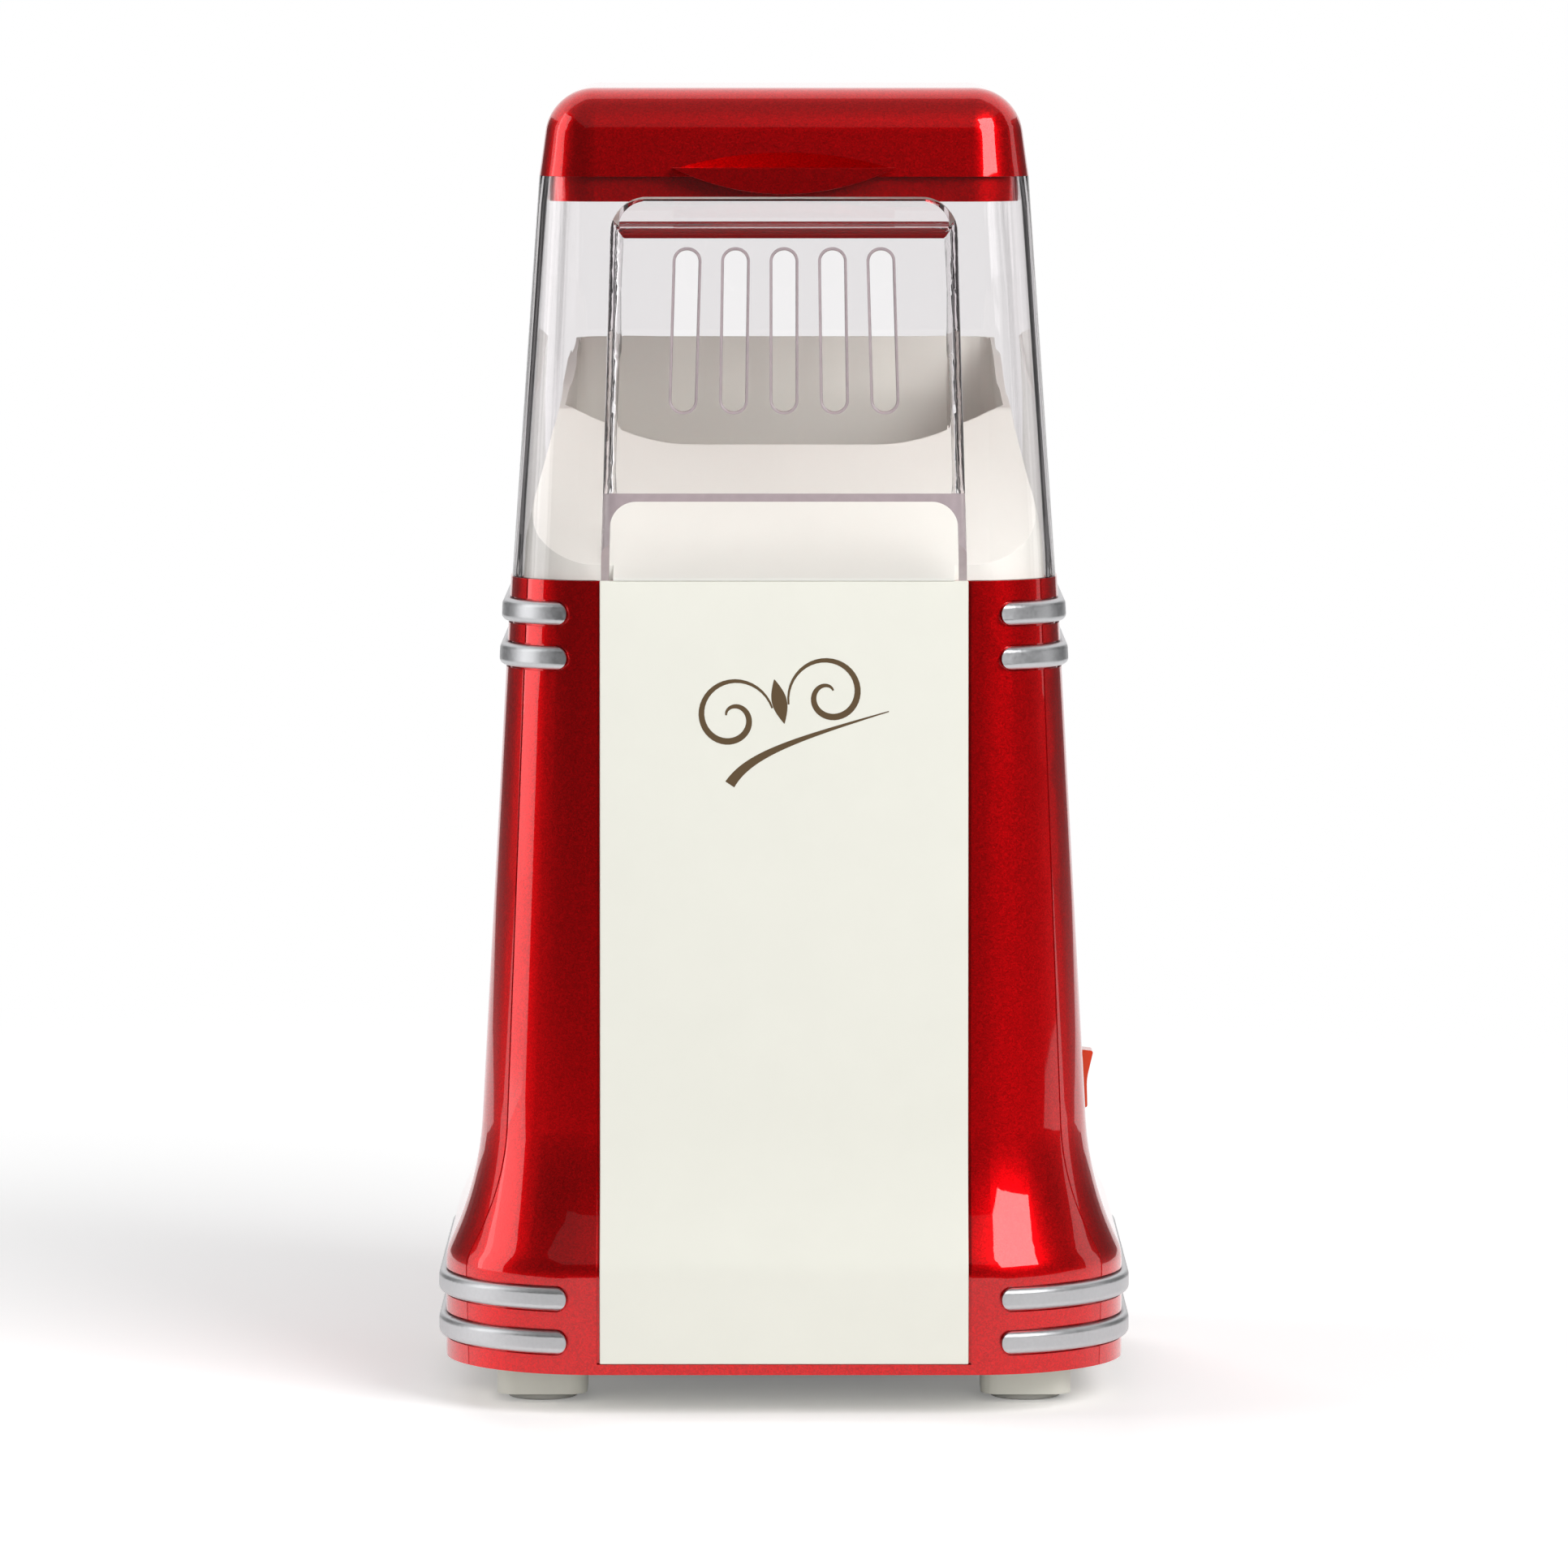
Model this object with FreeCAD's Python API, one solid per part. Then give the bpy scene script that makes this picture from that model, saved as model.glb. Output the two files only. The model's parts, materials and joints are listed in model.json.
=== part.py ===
"""Hot-air popcorn maker, standing on its feet, modelled in millimetres.

The front faces -Y, the right side is +X, and Z rises from the table at zero.
Every level outline of the casing is the core rectangle grown by a distance
called its reach, so a wall is one profile carried round that rectangle.
"""
import FreeCAD
import Part
import math
import os

V = FreeCAD.Vector
UP = V(0, 0, 1)

# Core rectangle that every outline grows from
CORE_X = 57.5
CORE_Y = 60.0

# Red body
WALL = 2.6
BODY_TOP = 255.5
TOP_REACH = 26.8
WAIST_REACH = 37.2
FLARE_HEIGHT = 22.0
FLARE_SHARE = 0.7966
PLINTH_HEIGHT = 32.7
PLINTH_REACH = 47.5
PLINTH_SHARE = 0.128
PLINTH_BOTTOM = 13.3
SEAM_TOP_INSET = 10.2
SEAM_BASE_INSET = 21.1
SEAM_GROOVE = 0.5
SEAM_DEPTH = 0.8
LEDGE_WIDTH = 4.5
LEDGE_THICK = 2.2
TOP_LEDGE_DROP = 4.0

# Cream front panel in its recess
PANEL_INSET = 1.0
PANEL_THICK = 1.6
PANEL_SET_BACK = 0.2
PANEL_GAP = 0.8
PANEL_BACKING = 2.6

# Silver trim bars
BAR_HEIGHT = 7.0
BAR_PROUD = 2.2
BAR_SEAT = 1.2
BAR_ROUND = 2.0
BAR_END_REACH = 9.2
BAR_GAP = 0.6
UPPER_BAR_DROP = 23.8
UPPER_BAR_PITCH = 13.6
LOWER_BAR_RISE = 9.9
LOWER_BAR_PITCH = 13.4

# Clear hood
HOOD_WALL = 2.5
HOOD_BOTTOM_REACH = 26.4
HOOD_HEIGHT = 123.2
HOOD_TOP_REACH = 17.8
VISOR_TOP_DROP = 6.1
VISOR_TOP_INSET = 4.8
VISOR_FOOT_INSET = 1.5
VISOR_CORNER = 11.0
VISOR_DEPTH = 15.0
VISOR_SHOULDER_DROP = 8.0
VISOR_EDGE = 5.0
VISOR_LIP_RISE = 12.5
MOUTH_HEIGHT = 25.0
MOUTH_CORNER = 8.0
SLOT_COUNT = 5
SLOT_WIDTH = 7.0
SLOT_LENGTH = 48.8
SLOT_TOP_DROP = 22.0
SLOT_PITCH_TOP = 14.7
SLOT_PITCH_BOTTOM = 15.4

# Red lid
LID_HEIGHT = 27.0
LID_SIDE_LEAN = 3.8
LID_ROUND_SHARE = 0.96
LID_WALL = 2.4
PLUG_GAP = 0.5
PLUG_DEPTH = 7.7
GRIP_HALF = 34.0
GRIP_RISE = 2.8
GRIP_SCOOP_HEIGHT = 6.5
GRIP_SCOOP_SLOPE = 30.0
GRIP_TAB_DROP = 8.0
GRIP_TAB_THICK = 4.0
GRIP_TAB_GAP = 0.5

# Cream funnel and chute
FUNNEL_WALL = 2.4
FUNNEL_HOOD_GAP = 0.9
FUNNEL_SHOULDER_RISE = 12.5
FUNNEL_SIDE_LEAN = 8.6
FUNNEL_TOP_LEAN = 1.3
FUNNEL_SIDE_ROUND = 40.0
FUNNEL_BACK_RISE = 68.5
LIP_SET_BACK = 41.8
LIP_RISE = 39.5
LIP_HALF = 40.0
LIP_SIDE_RISE = 11.0
LIP_SIDE_RUN = 27.0
LIP_SWEEP = 60.0
CHUTE_EDGE = 0.8
CHUTE_GAP = 1.2
LIP_ROUND = 5.0
THROAT_STEP = 3.0
FLOOR_FLARE = 1.4
NECK_DROP = 2.3

# Popping chamber, its seal and the hot air duct
CHAMBER_RADIUS = 43.0
CHAMBER_WALL = 1.0
CHAMBER_DEPTH = 66.0
CHAMBER_ROUND = 10.0
CHAMBER_FLANGE_WIDTH = 10.0
AIR_SLOT_COUNT = 12
AIR_SLOT_WIDTH = 2.4
AIR_SLOT_HEIGHT = 12.0
AIR_SLOT_RISE = 14.0
AIR_SLOT_SLANT = 25.0
SEAL_THICK = 2.0
DUCT_WALL = 1.2
DUCT_GAP = 4.5
DUCT_FOOT_WIDTH = 8.3
DUCT_FLANGE_LAP = 2.0
DUCT_FLANGE_THICK = 1.6

# Heater on its crossed boards
BOARD_THICK = 1.0
BOARD_HEIGHT = 34.0
BOARD_GAP = 0.8
LEDGE_RING_WIDTH = 4.0
LEDGE_RING_THICK = 1.6
COIL_INSET = 12.5
COIL_WIRE = 1.2
COIL_TURNS = 4
COIL_PITCH = 6.5
COIL_GAP = 0.05
BOARD_CORNER = 5.0

# Fan, motor and their housing
HOUSING_RISE = 83.5
HOUSING_HEIGHT = 34.0
HOUSING_WALL = 2.5
EAR_RADIUS = 7.0
EAR_THICK = 4.0
POST_STAND = 6.0
POST_RADIUS = 5.0
POST_DRAFT = 1.5
POST_DRILL = 12.0
INTAKE_COUNT = 6
INTAKE_RADIUS = 8.0
INTAKE_STAND = 13.0
MOTOR_RADIUS = 18.0
MOTOR_LENGTH = 54.0
MOTOR_WALL = 1.5
END_CAP_HEIGHT = 6.0
BUSH_RADIUS = 4.0
BUSH_LENGTH = 5.0
SHAFT_RADIUS = 1.6
SHAFT_PLAY = 0.03
PRESS_GAP = 0.02
MAGNET_THICK = 2.7
ARMATURE_LENGTH = 26.0
ARMATURE_POLES = 5
ARMATURE_RISE = 18.0
POLE_SLOT = 3.0
COMMUTATOR_RADIUS = 4.5
COMMUTATOR_LENGTH = 8.0
MAGNET_GAP = 0.8
MAGNET_SPLIT = 10.0
SHAFT_END = 0.6
IMPELLER_GAP = 6.5
IMPELLER_HEIGHT = 16.0
IMPELLER_DISC = 1.4
IMPELLER_HUB = 7.0
BLADE_COUNT = 12
BLADE_THICK = 1.2
BLADE_ROOT = 20.0
BLADE_SWEEP = 30.0
FAN_CLEARANCE = 4.0
MOTOR_SCREW_INSET = 5.5
SCREW_RADIUS = 1.5
SCREW_HEAD = 3.0
SCREW_HEAD_HEIGHT = 2.0
SCREW_GAP = 0.1

# Rectifier under the motor
RECTIFIER_INSET = 3.0
RECTIFIER_THICK = 1.6
DIODE_RADIUS = 1.6
DIODE_LENGTH = 6.0
DIODE_PITCH = 5.0
DIODE_LEAD = 0.5

# Heat guards standing on the duct's foot
GUARD_ANGLE = 135.0
GUARD_RADIUS = 6.0
GUARD_HEIGHT = 20.0
GUARD_THICK = 1.2
GUARD_DEPTH = 5.0
GUARD_GAP = 0.5
FUSE_ANGLE = 225.0
FUSE_RADIUS = 1.9
FUSE_LENGTH = 12.0
FUSE_LEAD = 0.6

# Base plate and feet
BASE_THICK = 3.2
BASE_GAP = 0.4
GRILLE_COUNT = 9
GRILLE_WIDTH = 3.2
GRILLE_PITCH = 8.0
GRILLE_LENGTH = 64.0
FOOT_SIDE_INSET = 30.0
FOOT_END_INSET = 46.5
FOOT_SIZE = 28.0
FOOT_ROUND = 6.0
FOOT_BOTTOM = 2.3
PAD_RADIUS = 11.0
PAD_SEAT = 1.2
PAD_GAP = 0.1
PAD_ROUND = 1.0
BOSS_RADIUS = 4.0
BOSS_HEIGHT = 12.0
BOSS_SIDE_Y = 34.0
BOSS_END_X = 34.0

# Switch on the right side
SWITCH_Y = 20.0
SWITCH_RISE = 22.0
BEZEL_WIDTH = 16.0
BEZEL_HEIGHT = 28.0
BEZEL_THICK = 2.4
BEZEL_SINK = 0.8
BEZEL_GAP = 0.3
BEZEL_CORNER = 2.0
BEZEL_EDGE = 1.0
SWITCH_WIDTH = 12.6
SWITCH_HEIGHT = 23.6
SWITCH_DEPTH = 13.0
ROCKER_GAP = 0.4
ROCKER_WIDTH = 9.0
ROCKER_HEIGHT = 18.4
ROCKER_PROUD = 4.2
ROCKER_DEPTH = 5.0
ROCKER_DISH = 1.2
ROCKER_EDGE = 0.8
ROCKER_SWING = 18.0
TRUNNION_RADIUS = 1.2
TRUNNION_PLAY = 0.05
TERMINAL_WIDTH = 4.8
TERMINAL_THICK = 0.8
TERMINAL_LENGTH = 8.0
TERMINAL_PITCH = 7.0

# Cord gland in the back of the plinth
GLAND_RISE = 16.7
GLAND_RADIUS = 6.0
GLAND_FLANGE = 9.0
GLAND_FLANGE_THICK = 1.3
GLAND_BORE = 3.8
GLAND_REACH = 6.0

# Heights that follow from those above
PLINTH_TOP = PLINTH_BOTTOM + PLINTH_HEIGHT
WAIST_Z = PLINTH_TOP + FLARE_HEIGHT
BASE_TOP = PLINTH_BOTTOM + BASE_THICK
LEDGE_TOP = BODY_TOP - TOP_LEDGE_DROP
UPPER_BAR_Z = BODY_TOP - UPPER_BAR_DROP
LOWER_BAR_Z = PLINTH_BOTTOM + LOWER_BAR_RISE
HOOD_TOP = BODY_TOP + HOOD_HEIGHT
VISOR_TOP = HOOD_TOP - VISOR_TOP_DROP
VISOR_LIP = BODY_TOP + VISOR_LIP_RISE
MOUTH_TOP = BODY_TOP + MOUTH_HEIGHT
SLOT_TOP = HOOD_TOP - SLOT_TOP_DROP
SLOT_BOTTOM = SLOT_TOP - SLOT_LENGTH
LID_TOP = HOOD_TOP + LID_HEIGHT
PLUG_BOTTOM = HOOD_TOP - PLUG_DEPTH
GRIP_Z = HOOD_TOP + GRIP_RISE
GRIP_SCOOP_TOP = GRIP_Z + GRIP_SCOOP_HEIGHT
FUNNEL_SHOULDER_Z = BODY_TOP + FUNNEL_SHOULDER_RISE
FUNNEL_BACK_Z = BODY_TOP + FUNNEL_BACK_RISE
LIP_Z = BODY_TOP + LIP_RISE
SIDE_LIP_Z = LIP_Z + LIP_SIDE_RISE
NECK_Z = BODY_TOP - NECK_DROP
CHAMBER_FLANGE_Z = NECK_Z - CHAMBER_WALL
DUCT_TOP = CHAMBER_FLANGE_Z - SEAL_THICK
HOUSING_FLOOR = BASE_TOP + HOUSING_RISE
HOUSING_TOP = HOUSING_FLOOR + HOUSING_HEIGHT
DUCT_FOOT = HOUSING_TOP + DUCT_FLANGE_THICK
BOARD_BOTTOM = DUCT_FOOT + LEDGE_RING_THICK
EAR_TOP = HOUSING_FLOOR + EAR_THICK
MOTOR_BOTTOM = HOUSING_FLOOR - MOTOR_LENGTH
ARMATURE_BOTTOM = MOTOR_BOTTOM + ARMATURE_RISE
SWITCH_Z = WAIST_Z + SWITCH_RISE
GLAND_Z = PLINTH_BOTTOM + GLAND_RISE

# Widths and slopes that follow
TAPER = (WAIST_REACH - TOP_REACH) / (BODY_TOP - WAIST_Z)
FLARE_OUT = PLINTH_REACH - WAIST_REACH
FLARE_LENGTH = math.hypot(FLARE_OUT, FLARE_HEIGHT)
FLARE_LEAN = math.atan(FLARE_OUT / FLARE_HEIGHT)
FLARE_ROUND = FLARE_SHARE * FLARE_LENGTH / math.tan((FLARE_LEAN - math.atan(TAPER)) / 2)
PLINTH_ROUND = PLINTH_SHARE * FLARE_LENGTH / math.tan(FLARE_LEAN / 2)
PLINTH_INSIDE = PLINTH_REACH - WALL
BOSS_REACH = PLINTH_INSIDE - LEDGE_WIDTH
SEAM_TOP_Y = CORE_Y + TOP_REACH - SEAM_TOP_INSET
SEAM_BASE_Y = CORE_Y + PLINTH_REACH - SEAM_BASE_INSET
FRONT_Y = -(CORE_Y + TOP_REACH)
PANEL_HALF = CORE_X - PANEL_INSET
PANEL_SEAT = PANEL_SET_BACK + PANEL_THICK
BAR_END_X = CORE_X + BAR_END_REACH
HOOD_TAPER = (HOOD_BOTTOM_REACH - HOOD_TOP_REACH) / HOOD_HEIGHT
VISOR_TOP_HALF = CORE_X - VISOR_TOP_INSET
VISOR_FOOT_HALF = CORE_X - VISOR_FOOT_INSET
PLUG_REACH = HOOD_TOP_REACH - HOOD_WALL - PLUG_GAP
LIP_Y = FRONT_Y + LIP_SET_BACK
THROAT_RADIUS = CHAMBER_RADIUS + THROAT_STEP
CHAMBER_FLANGE = CHAMBER_RADIUS + CHAMBER_FLANGE_WIDTH
DUCT_RADIUS = CHAMBER_RADIUS + CHAMBER_WALL + DUCT_GAP
DUCT_FLANGE = DUCT_RADIUS + DUCT_WALL + DUCT_FOOT_WIDTH
HOUSING_RADIUS = DUCT_FLANGE - DUCT_FLANGE_LAP
COIL_RADIUS = DUCT_RADIUS - COIL_INSET
POST_RING = HOUSING_RADIUS + POST_STAND
IMPELLER_RADIUS = HOUSING_RADIUS - HOUSING_WALL - IMPELLER_GAP
INTAKE_RING = MOTOR_RADIUS + INTAKE_STAND
ARMATURE_RADIUS = MOTOR_RADIUS - MOTOR_WALL - MAGNET_THICK - MAGNET_GAP
MOTOR_SCREW_RING = MOTOR_RADIUS - MOTOR_SCREW_INSET
RECTIFIER_RADIUS = MOTOR_RADIUS - RECTIFIER_INSET
FOOT_X = CORE_X + PLINTH_REACH - FOOT_SIDE_INSET
FOOT_Y = CORE_Y + PLINTH_REACH - FOOT_END_INSET
FAR = 4 * (CORE_Y + PLINTH_REACH)


def across(u, v):
    """Place a drawing in the XZ plane."""
    return V(u, 0, v)


def level(u, v):
    """Place a drawing in the XY plane."""
    return V(u, v, 0)


def sideways(u, v):
    """Place a drawing in the YZ plane."""
    return V(0, u, v)


def outline(corners, place):
    """Flat face through the corners, where a third number rounds a corner."""
    flat = [V(corner[0], corner[1], 0) for corner in corners]
    bends = []
    for index, corner in enumerate(corners):
        here = flat[index]
        if len(corner) < 3:
            bends.append((here, None, here))
            continue
        back = (flat[index - 1] - here).normalize()
        ahead = (flat[(index + 1) % len(flat)] - here).normalize()
        half = back.getAngle(ahead) / 2
        tangent = corner[2] / math.tan(half)
        middle = (back + ahead).normalize() * (corner[2] / math.sin(half) - corner[2])
        bends.append((here + back * tangent, here + middle, here + ahead * tangent))
    edges = []
    for index, (start, middle, end) in enumerate(bends):
        if middle is not None:
            spots = [place(spot.x, spot.y) for spot in (start, middle, end)]
            edges.append(Part.Arc(*spots).toShape())
        following = bends[(index + 1) % len(bends)][0]
        if end.distanceToPoint(following) > 1e-6:
            edges.append(Part.makeLine(place(end.x, end.y), place(following.x, following.y)))
    return Part.Face(Part.Wire(edges))


def prism(corners, place, start, end):
    """Solid of a drawn outline between two places along its normal."""
    face = outline(corners, place)
    axis = {across: V(0, 1, 0), level: UP, sideways: V(1, 0, 0)}[place]
    face.translate(axis * start)
    return face.extrude(axis * (end - start))


def box(x0, x1, y0, y1, z0, z1):
    """Block between two corners."""
    return Part.makeBox(x1 - x0, y1 - y0, z1 - z0, V(x0, y0, z0))


def join(shapes):
    """One clean solid of shapes that meet."""
    return shapes[0].multiFuse(shapes[1:]).removeSplitter()


def turned(corners):
    """Solid of a profile turned about the upright axis."""
    return outline(corners, across).revolve(V(0, 0, 0), UP, 360)


def rod(radius, bottom, top, x=0, y=0):
    """Upright round bar."""
    return Part.makeCylinder(radius, top - bottom, V(x, y, bottom))


def ring(outer, inner, bottom, top):
    """Upright tube."""
    return turned([(inner, bottom), (outer, bottom), (outer, top), (inner, top)])


def around(corners, filled=False):
    """Solid of a reach and height profile carried round the core rectangle."""
    pieces = []
    for side in range(4):
        run, rise = (CORE_X, CORE_Y) if side % 2 == 0 else (CORE_Y, CORE_X)
        face = outline(corners, across)
        corner = face.revolve(V(0, 0, 0), UP, 90)
        corner.translate(V(run, rise, 0))
        face.translate(V(run, -rise, 0))
        flat = face.extrude(V(0, 2 * rise, 0))
        for piece in (corner, flat):
            piece.rotate(V(0, 0, 0), UP, 90 * side)
            pieces.append(piece)
    if filled:
        heights = [corner[1] for corner in corners]
        pieces.append(box(-CORE_X, CORE_X, -CORE_Y, CORE_Y, min(heights), max(heights)))
    return join(pieces)


def wall_line(inset, bottom=PLINTH_BOTTOM, top=BODY_TOP):
    """Body wall from top to bottom, set in by a distance."""
    return [
        (TOP_REACH - TAPER * (top - BODY_TOP) - inset, top),
        (WAIST_REACH - inset, WAIST_Z, FLARE_ROUND),
        (PLINTH_REACH - inset, PLINTH_TOP, PLINTH_ROUND),
        (PLINTH_REACH - inset, bottom),
    ]


def wall_reach(z):
    """Reach of the body's outside on its plain taper or on the plinth."""
    if z <= PLINTH_TOP:
        return PLINTH_REACH
    return TOP_REACH + TAPER * (BODY_TOP - z)


def hood_reach(z):
    """Reach of the hood's outside."""
    return HOOD_BOTTOM_REACH - HOOD_TAPER * (z - BODY_TOP)


def seam_y(z):
    """Depth of the upright seam between the two shells."""
    rise = (z - PLINTH_BOTTOM) / (BODY_TOP - PLINTH_BOTTOM)
    return -SEAM_BASE_Y + rise * (SEAM_BASE_Y - SEAM_TOP_Y)


def halves(shape):
    """The shape as built for the right side, and its mirror on the left."""
    return {"right": shape, "left": shape.mirror(V(0, 0, 0), V(1, 0, 0))}


def bar_solid(z, grow, proud):
    """Right-hand trim bar at a height, or its pocket when grown."""
    low = z - BAR_HEIGHT / 2 - grow
    high = z + BAR_HEIGHT / 2 + grow
    band = around([
        (wall_reach(low) - BAR_SEAT, low),
        (wall_reach(low) + proud, low, BAR_ROUND),
        (wall_reach(high) + proud, high, BAR_ROUND),
        (wall_reach(high) - BAR_SEAT, high),
    ])
    end = 0.49 * (high - low)
    front = BAR_END_X - grow
    return band.common(prism(
        [(front, low, end), (FAR, low), (FAR, high), (front, high, end)], across, -FAR, FAR))


def bar_heights():
    """Name and height of each trim bar on one side."""
    return {
        "upper_bar_top": UPPER_BAR_Z + UPPER_BAR_PITCH,
        "upper_bar_bottom": UPPER_BAR_Z,
        "lower_bar_top": LOWER_BAR_Z + LOWER_BAR_PITCH,
        "lower_bar_bottom": LOWER_BAR_Z,
    }


def trim_bars():
    """Eight silver bars, each wrapped round one side of the body."""
    bars = {}
    for name, z in bar_heights().items():
        for side, shape in halves(bar_solid(z, 0, BAR_PROUD)).items():
            bars[name + "_" + side] = shape
    return bars


def bar_pockets():
    """Recesses that the trim bars sit in."""
    pockets = []
    for z in bar_heights().values():
        pockets += halves(bar_solid(z, BAR_GAP, 2 * BAR_PROUD)).values()
    return pockets


def wall_ring():
    """Whole body wall with its top and bottom ledges, before it is parted."""
    inside = wall_line(WALL)
    under = LEDGE_TOP - LEDGE_THICK
    brim = wall_reach(LEDGE_TOP) - WALL
    return around(wall_line(0) + [
        (PLINTH_INSIDE, PLINTH_BOTTOM),
        (PLINTH_INSIDE, BASE_TOP),
        (BOSS_REACH, BASE_TOP),
        (BOSS_REACH, BASE_TOP + LEDGE_THICK),
        (PLINTH_INSIDE, BASE_TOP + LEDGE_THICK),
        inside[2],
        inside[1],
        (wall_reach(under) - WALL, under),
        (brim - LEDGE_WIDTH, under),
        (brim - LEDGE_WIDTH, LEDGE_TOP),
        (brim, LEDGE_TOP),
        inside[0],
    ])


def front_space(shift):
    """Everything in front of the seam, moved back by a distance."""
    return prism([
        (-FAR, 0),
        (seam_y(0) + shift, 0),
        (seam_y(HOOD_TOP) + shift, HOOD_TOP),
        (-FAR, HOOD_TOP),
    ], sideways, -FAR, FAR)


def front_strip(outer, inner, half, bottom, top):
    """Slab of the flat front between two depths below the body's outside."""
    near = wall_line(outer, bottom, top)
    far = wall_line(inner, bottom, top)
    corners = [(-(CORE_Y + spot[0]),) + tuple(spot[1:]) for spot in near + far[::-1]]
    return prism(corners, sideways, -half, half)


def boss_spots(front):
    """Screw boss centres on the bottom ledge of one shell."""
    side = CORE_X + BOSS_REACH
    end = CORE_Y + BOSS_REACH
    if front:
        return [(-BOSS_END_X, -end), (BOSS_END_X, -end)]
    spots = [(x, y) for x in (-side, side) for y in (-BOSS_SIDE_Y, BOSS_SIDE_Y)]
    return spots + [(-BOSS_END_X, end), (BOSS_END_X, end)]


def with_bosses(shell, front):
    """Shell with its screw bosses added and drilled."""
    top = BASE_TOP + BOSS_HEIGHT
    spots = boss_spots(front)
    shell = join([shell] + [rod(BOSS_RADIUS, BASE_TOP, top, x, y) for x, y in spots])
    return shell.cut([rod(SCREW_RADIUS + SCREW_GAP, 0, top - WALL, x, y) for x, y in spots])


def front_shell(wall, pockets):
    """Red front casing: two columns joined behind the panel's recess."""
    shell = wall.common(front_space(0))
    backing = front_strip(
        PANEL_SEAT, PANEL_SEAT + PANEL_BACKING, CORE_X + WALL, BASE_TOP, LEDGE_TOP)
    recess = front_strip(-WALL, PANEL_SEAT, PANEL_HALF + PANEL_GAP, BASE_TOP, BODY_TOP + WALL)
    shell = with_bosses(join([shell, backing]), True)
    return shell.cut(pockets + [recess])


def front_panel():
    """Cream panel that follows the body's front from flare to top."""
    return front_strip(PANEL_SET_BACK, PANEL_SEAT, PANEL_HALF, BASE_TOP, BODY_TOP)


def rear_shell(wall, pockets):
    """Red rear casing with the switch window and the gland's hole."""
    shell = with_bosses(wall.cut(front_space(0)), False)
    skin = around(wall_line(-WALL) + wall_line(SEAM_DEPTH)[::-1])
    groove = skin.common(front_space(SEAM_GROOVE))
    gland_hole = Part.makeCylinder(
        GLAND_RADIUS, FAR, V(0, CORE_Y, GLAND_Z), V(0, 1, 0))
    return shell.cut(pockets + [groove, switch_window(), gland_hole])


def on_switch_wall(shape):
    """Move a shape drawn at the origin, facing +X, to the switch's wall."""
    lean = -math.degrees(math.atan(TAPER))
    shape.rotate(V(0, 0, 0), V(0, 1, 0), lean)
    shape.translate(V(CORE_X + wall_reach(SWITCH_Z), SWITCH_Y, SWITCH_Z))
    return shape


def upright_plate(width, height, x0, x1, corner):
    """Rounded plate facing +X."""
    y = width / 2
    z = height / 2
    return prism(
        [(-y, -z, corner), (y, -z, corner), (y, z, corner), (-y, z, corner)], sideways, x0, x1)


def switch_window():
    """Stepped opening that the switch is pushed into."""
    rim = 2 * BEZEL_GAP
    seat = upright_plate(BEZEL_WIDTH + rim, BEZEL_HEIGHT + rim, -BEZEL_SINK, 4 * BEZEL_THICK, BEZEL_CORNER)
    hole = upright_plate(SWITCH_WIDTH + rim, SWITCH_HEIGHT + rim, -4 * WALL, BEZEL_THICK, BEZEL_EDGE)
    return on_switch_wall(seat.fuse(hole))


def visor_half(z):
    """Half width of the visor's outside at a height."""
    rise = (z - BODY_TOP) / (VISOR_TOP - BODY_TOP)
    return VISOR_FOOT_HALF + rise * (VISOR_TOP_HALF - VISOR_FOOT_HALF)


def visor_front(z, inset):
    """Depth of the visor's front face at a height."""
    return -(CORE_Y + hood_reach(z) + VISOR_DEPTH - inset)


def visor_plan(z, inset):
    """Level outline of the visor with its rounded front corners."""
    half = visor_half(z) - inset
    front = visor_front(z, inset)
    corner = VISOR_EDGE - inset
    face = outline(
        [(-half, front, corner), (half, front, corner), (half, -CORE_Y), (-half, -CORE_Y)], level)
    face.translate(V(0, 0, z))
    return face.OuterWire


def visor(inset):
    """Solid inside the visor's skin, which is open below when set in."""
    top = VISOR_TOP - inset
    shoulder = top - VISOR_SHOULDER_DROP
    low = BODY_TOP - 4 * inset
    half_top = visor_half(top) - inset
    half_low = visor_half(low) - inset
    corner = VISOR_CORNER - inset
    body = Part.makeLoft([visor_plan(low, inset), visor_plan(HOOD_TOP, inset)], True, True)
    profile = [
        (-CORE_Y, top),
        (-(CORE_Y + hood_reach(VISOR_TOP)), top),
        (visor_front(shoulder, inset), shoulder, VISOR_EDGE),
    ]
    if inset:
        profile.append((visor_front(low, inset), low))
    else:
        profile.append((visor_front(VISOR_LIP, inset), VISOR_LIP))
        profile.append((-(CORE_Y + HOOD_BOTTOM_REACH), BODY_TOP))
    side = prism(profile + [(-CORE_Y, low)], sideways, -FAR, FAR)
    front = prism([
        (-half_low, low),
        (half_low, low),
        (half_top, top, corner),
        (-half_top, top, corner),
    ], across, -FAR, FAR)
    return body.common(side).common(front)


def visor_slots():
    """Row of round-ended vents that fan out with the visor's taper."""
    slots = []
    half = SLOT_WIDTH / 2
    near = -(CORE_Y + hood_reach(SLOT_BOTTOM)) - HOOD_WALL
    for place in range(SLOT_COUNT):
        step = place - (SLOT_COUNT - 1) / 2
        low = step * SLOT_PITCH_BOTTOM
        high = step * SLOT_PITCH_TOP
        slots.append(prism([
            (low - half, SLOT_BOTTOM, 0.97 * half),
            (low + half, SLOT_BOTTOM, 0.97 * half),
            (high + half, SLOT_TOP, 0.97 * half),
            (high - half, SLOT_TOP, 0.97 * half),
        ], across, -FAR, near))
    return slots


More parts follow.
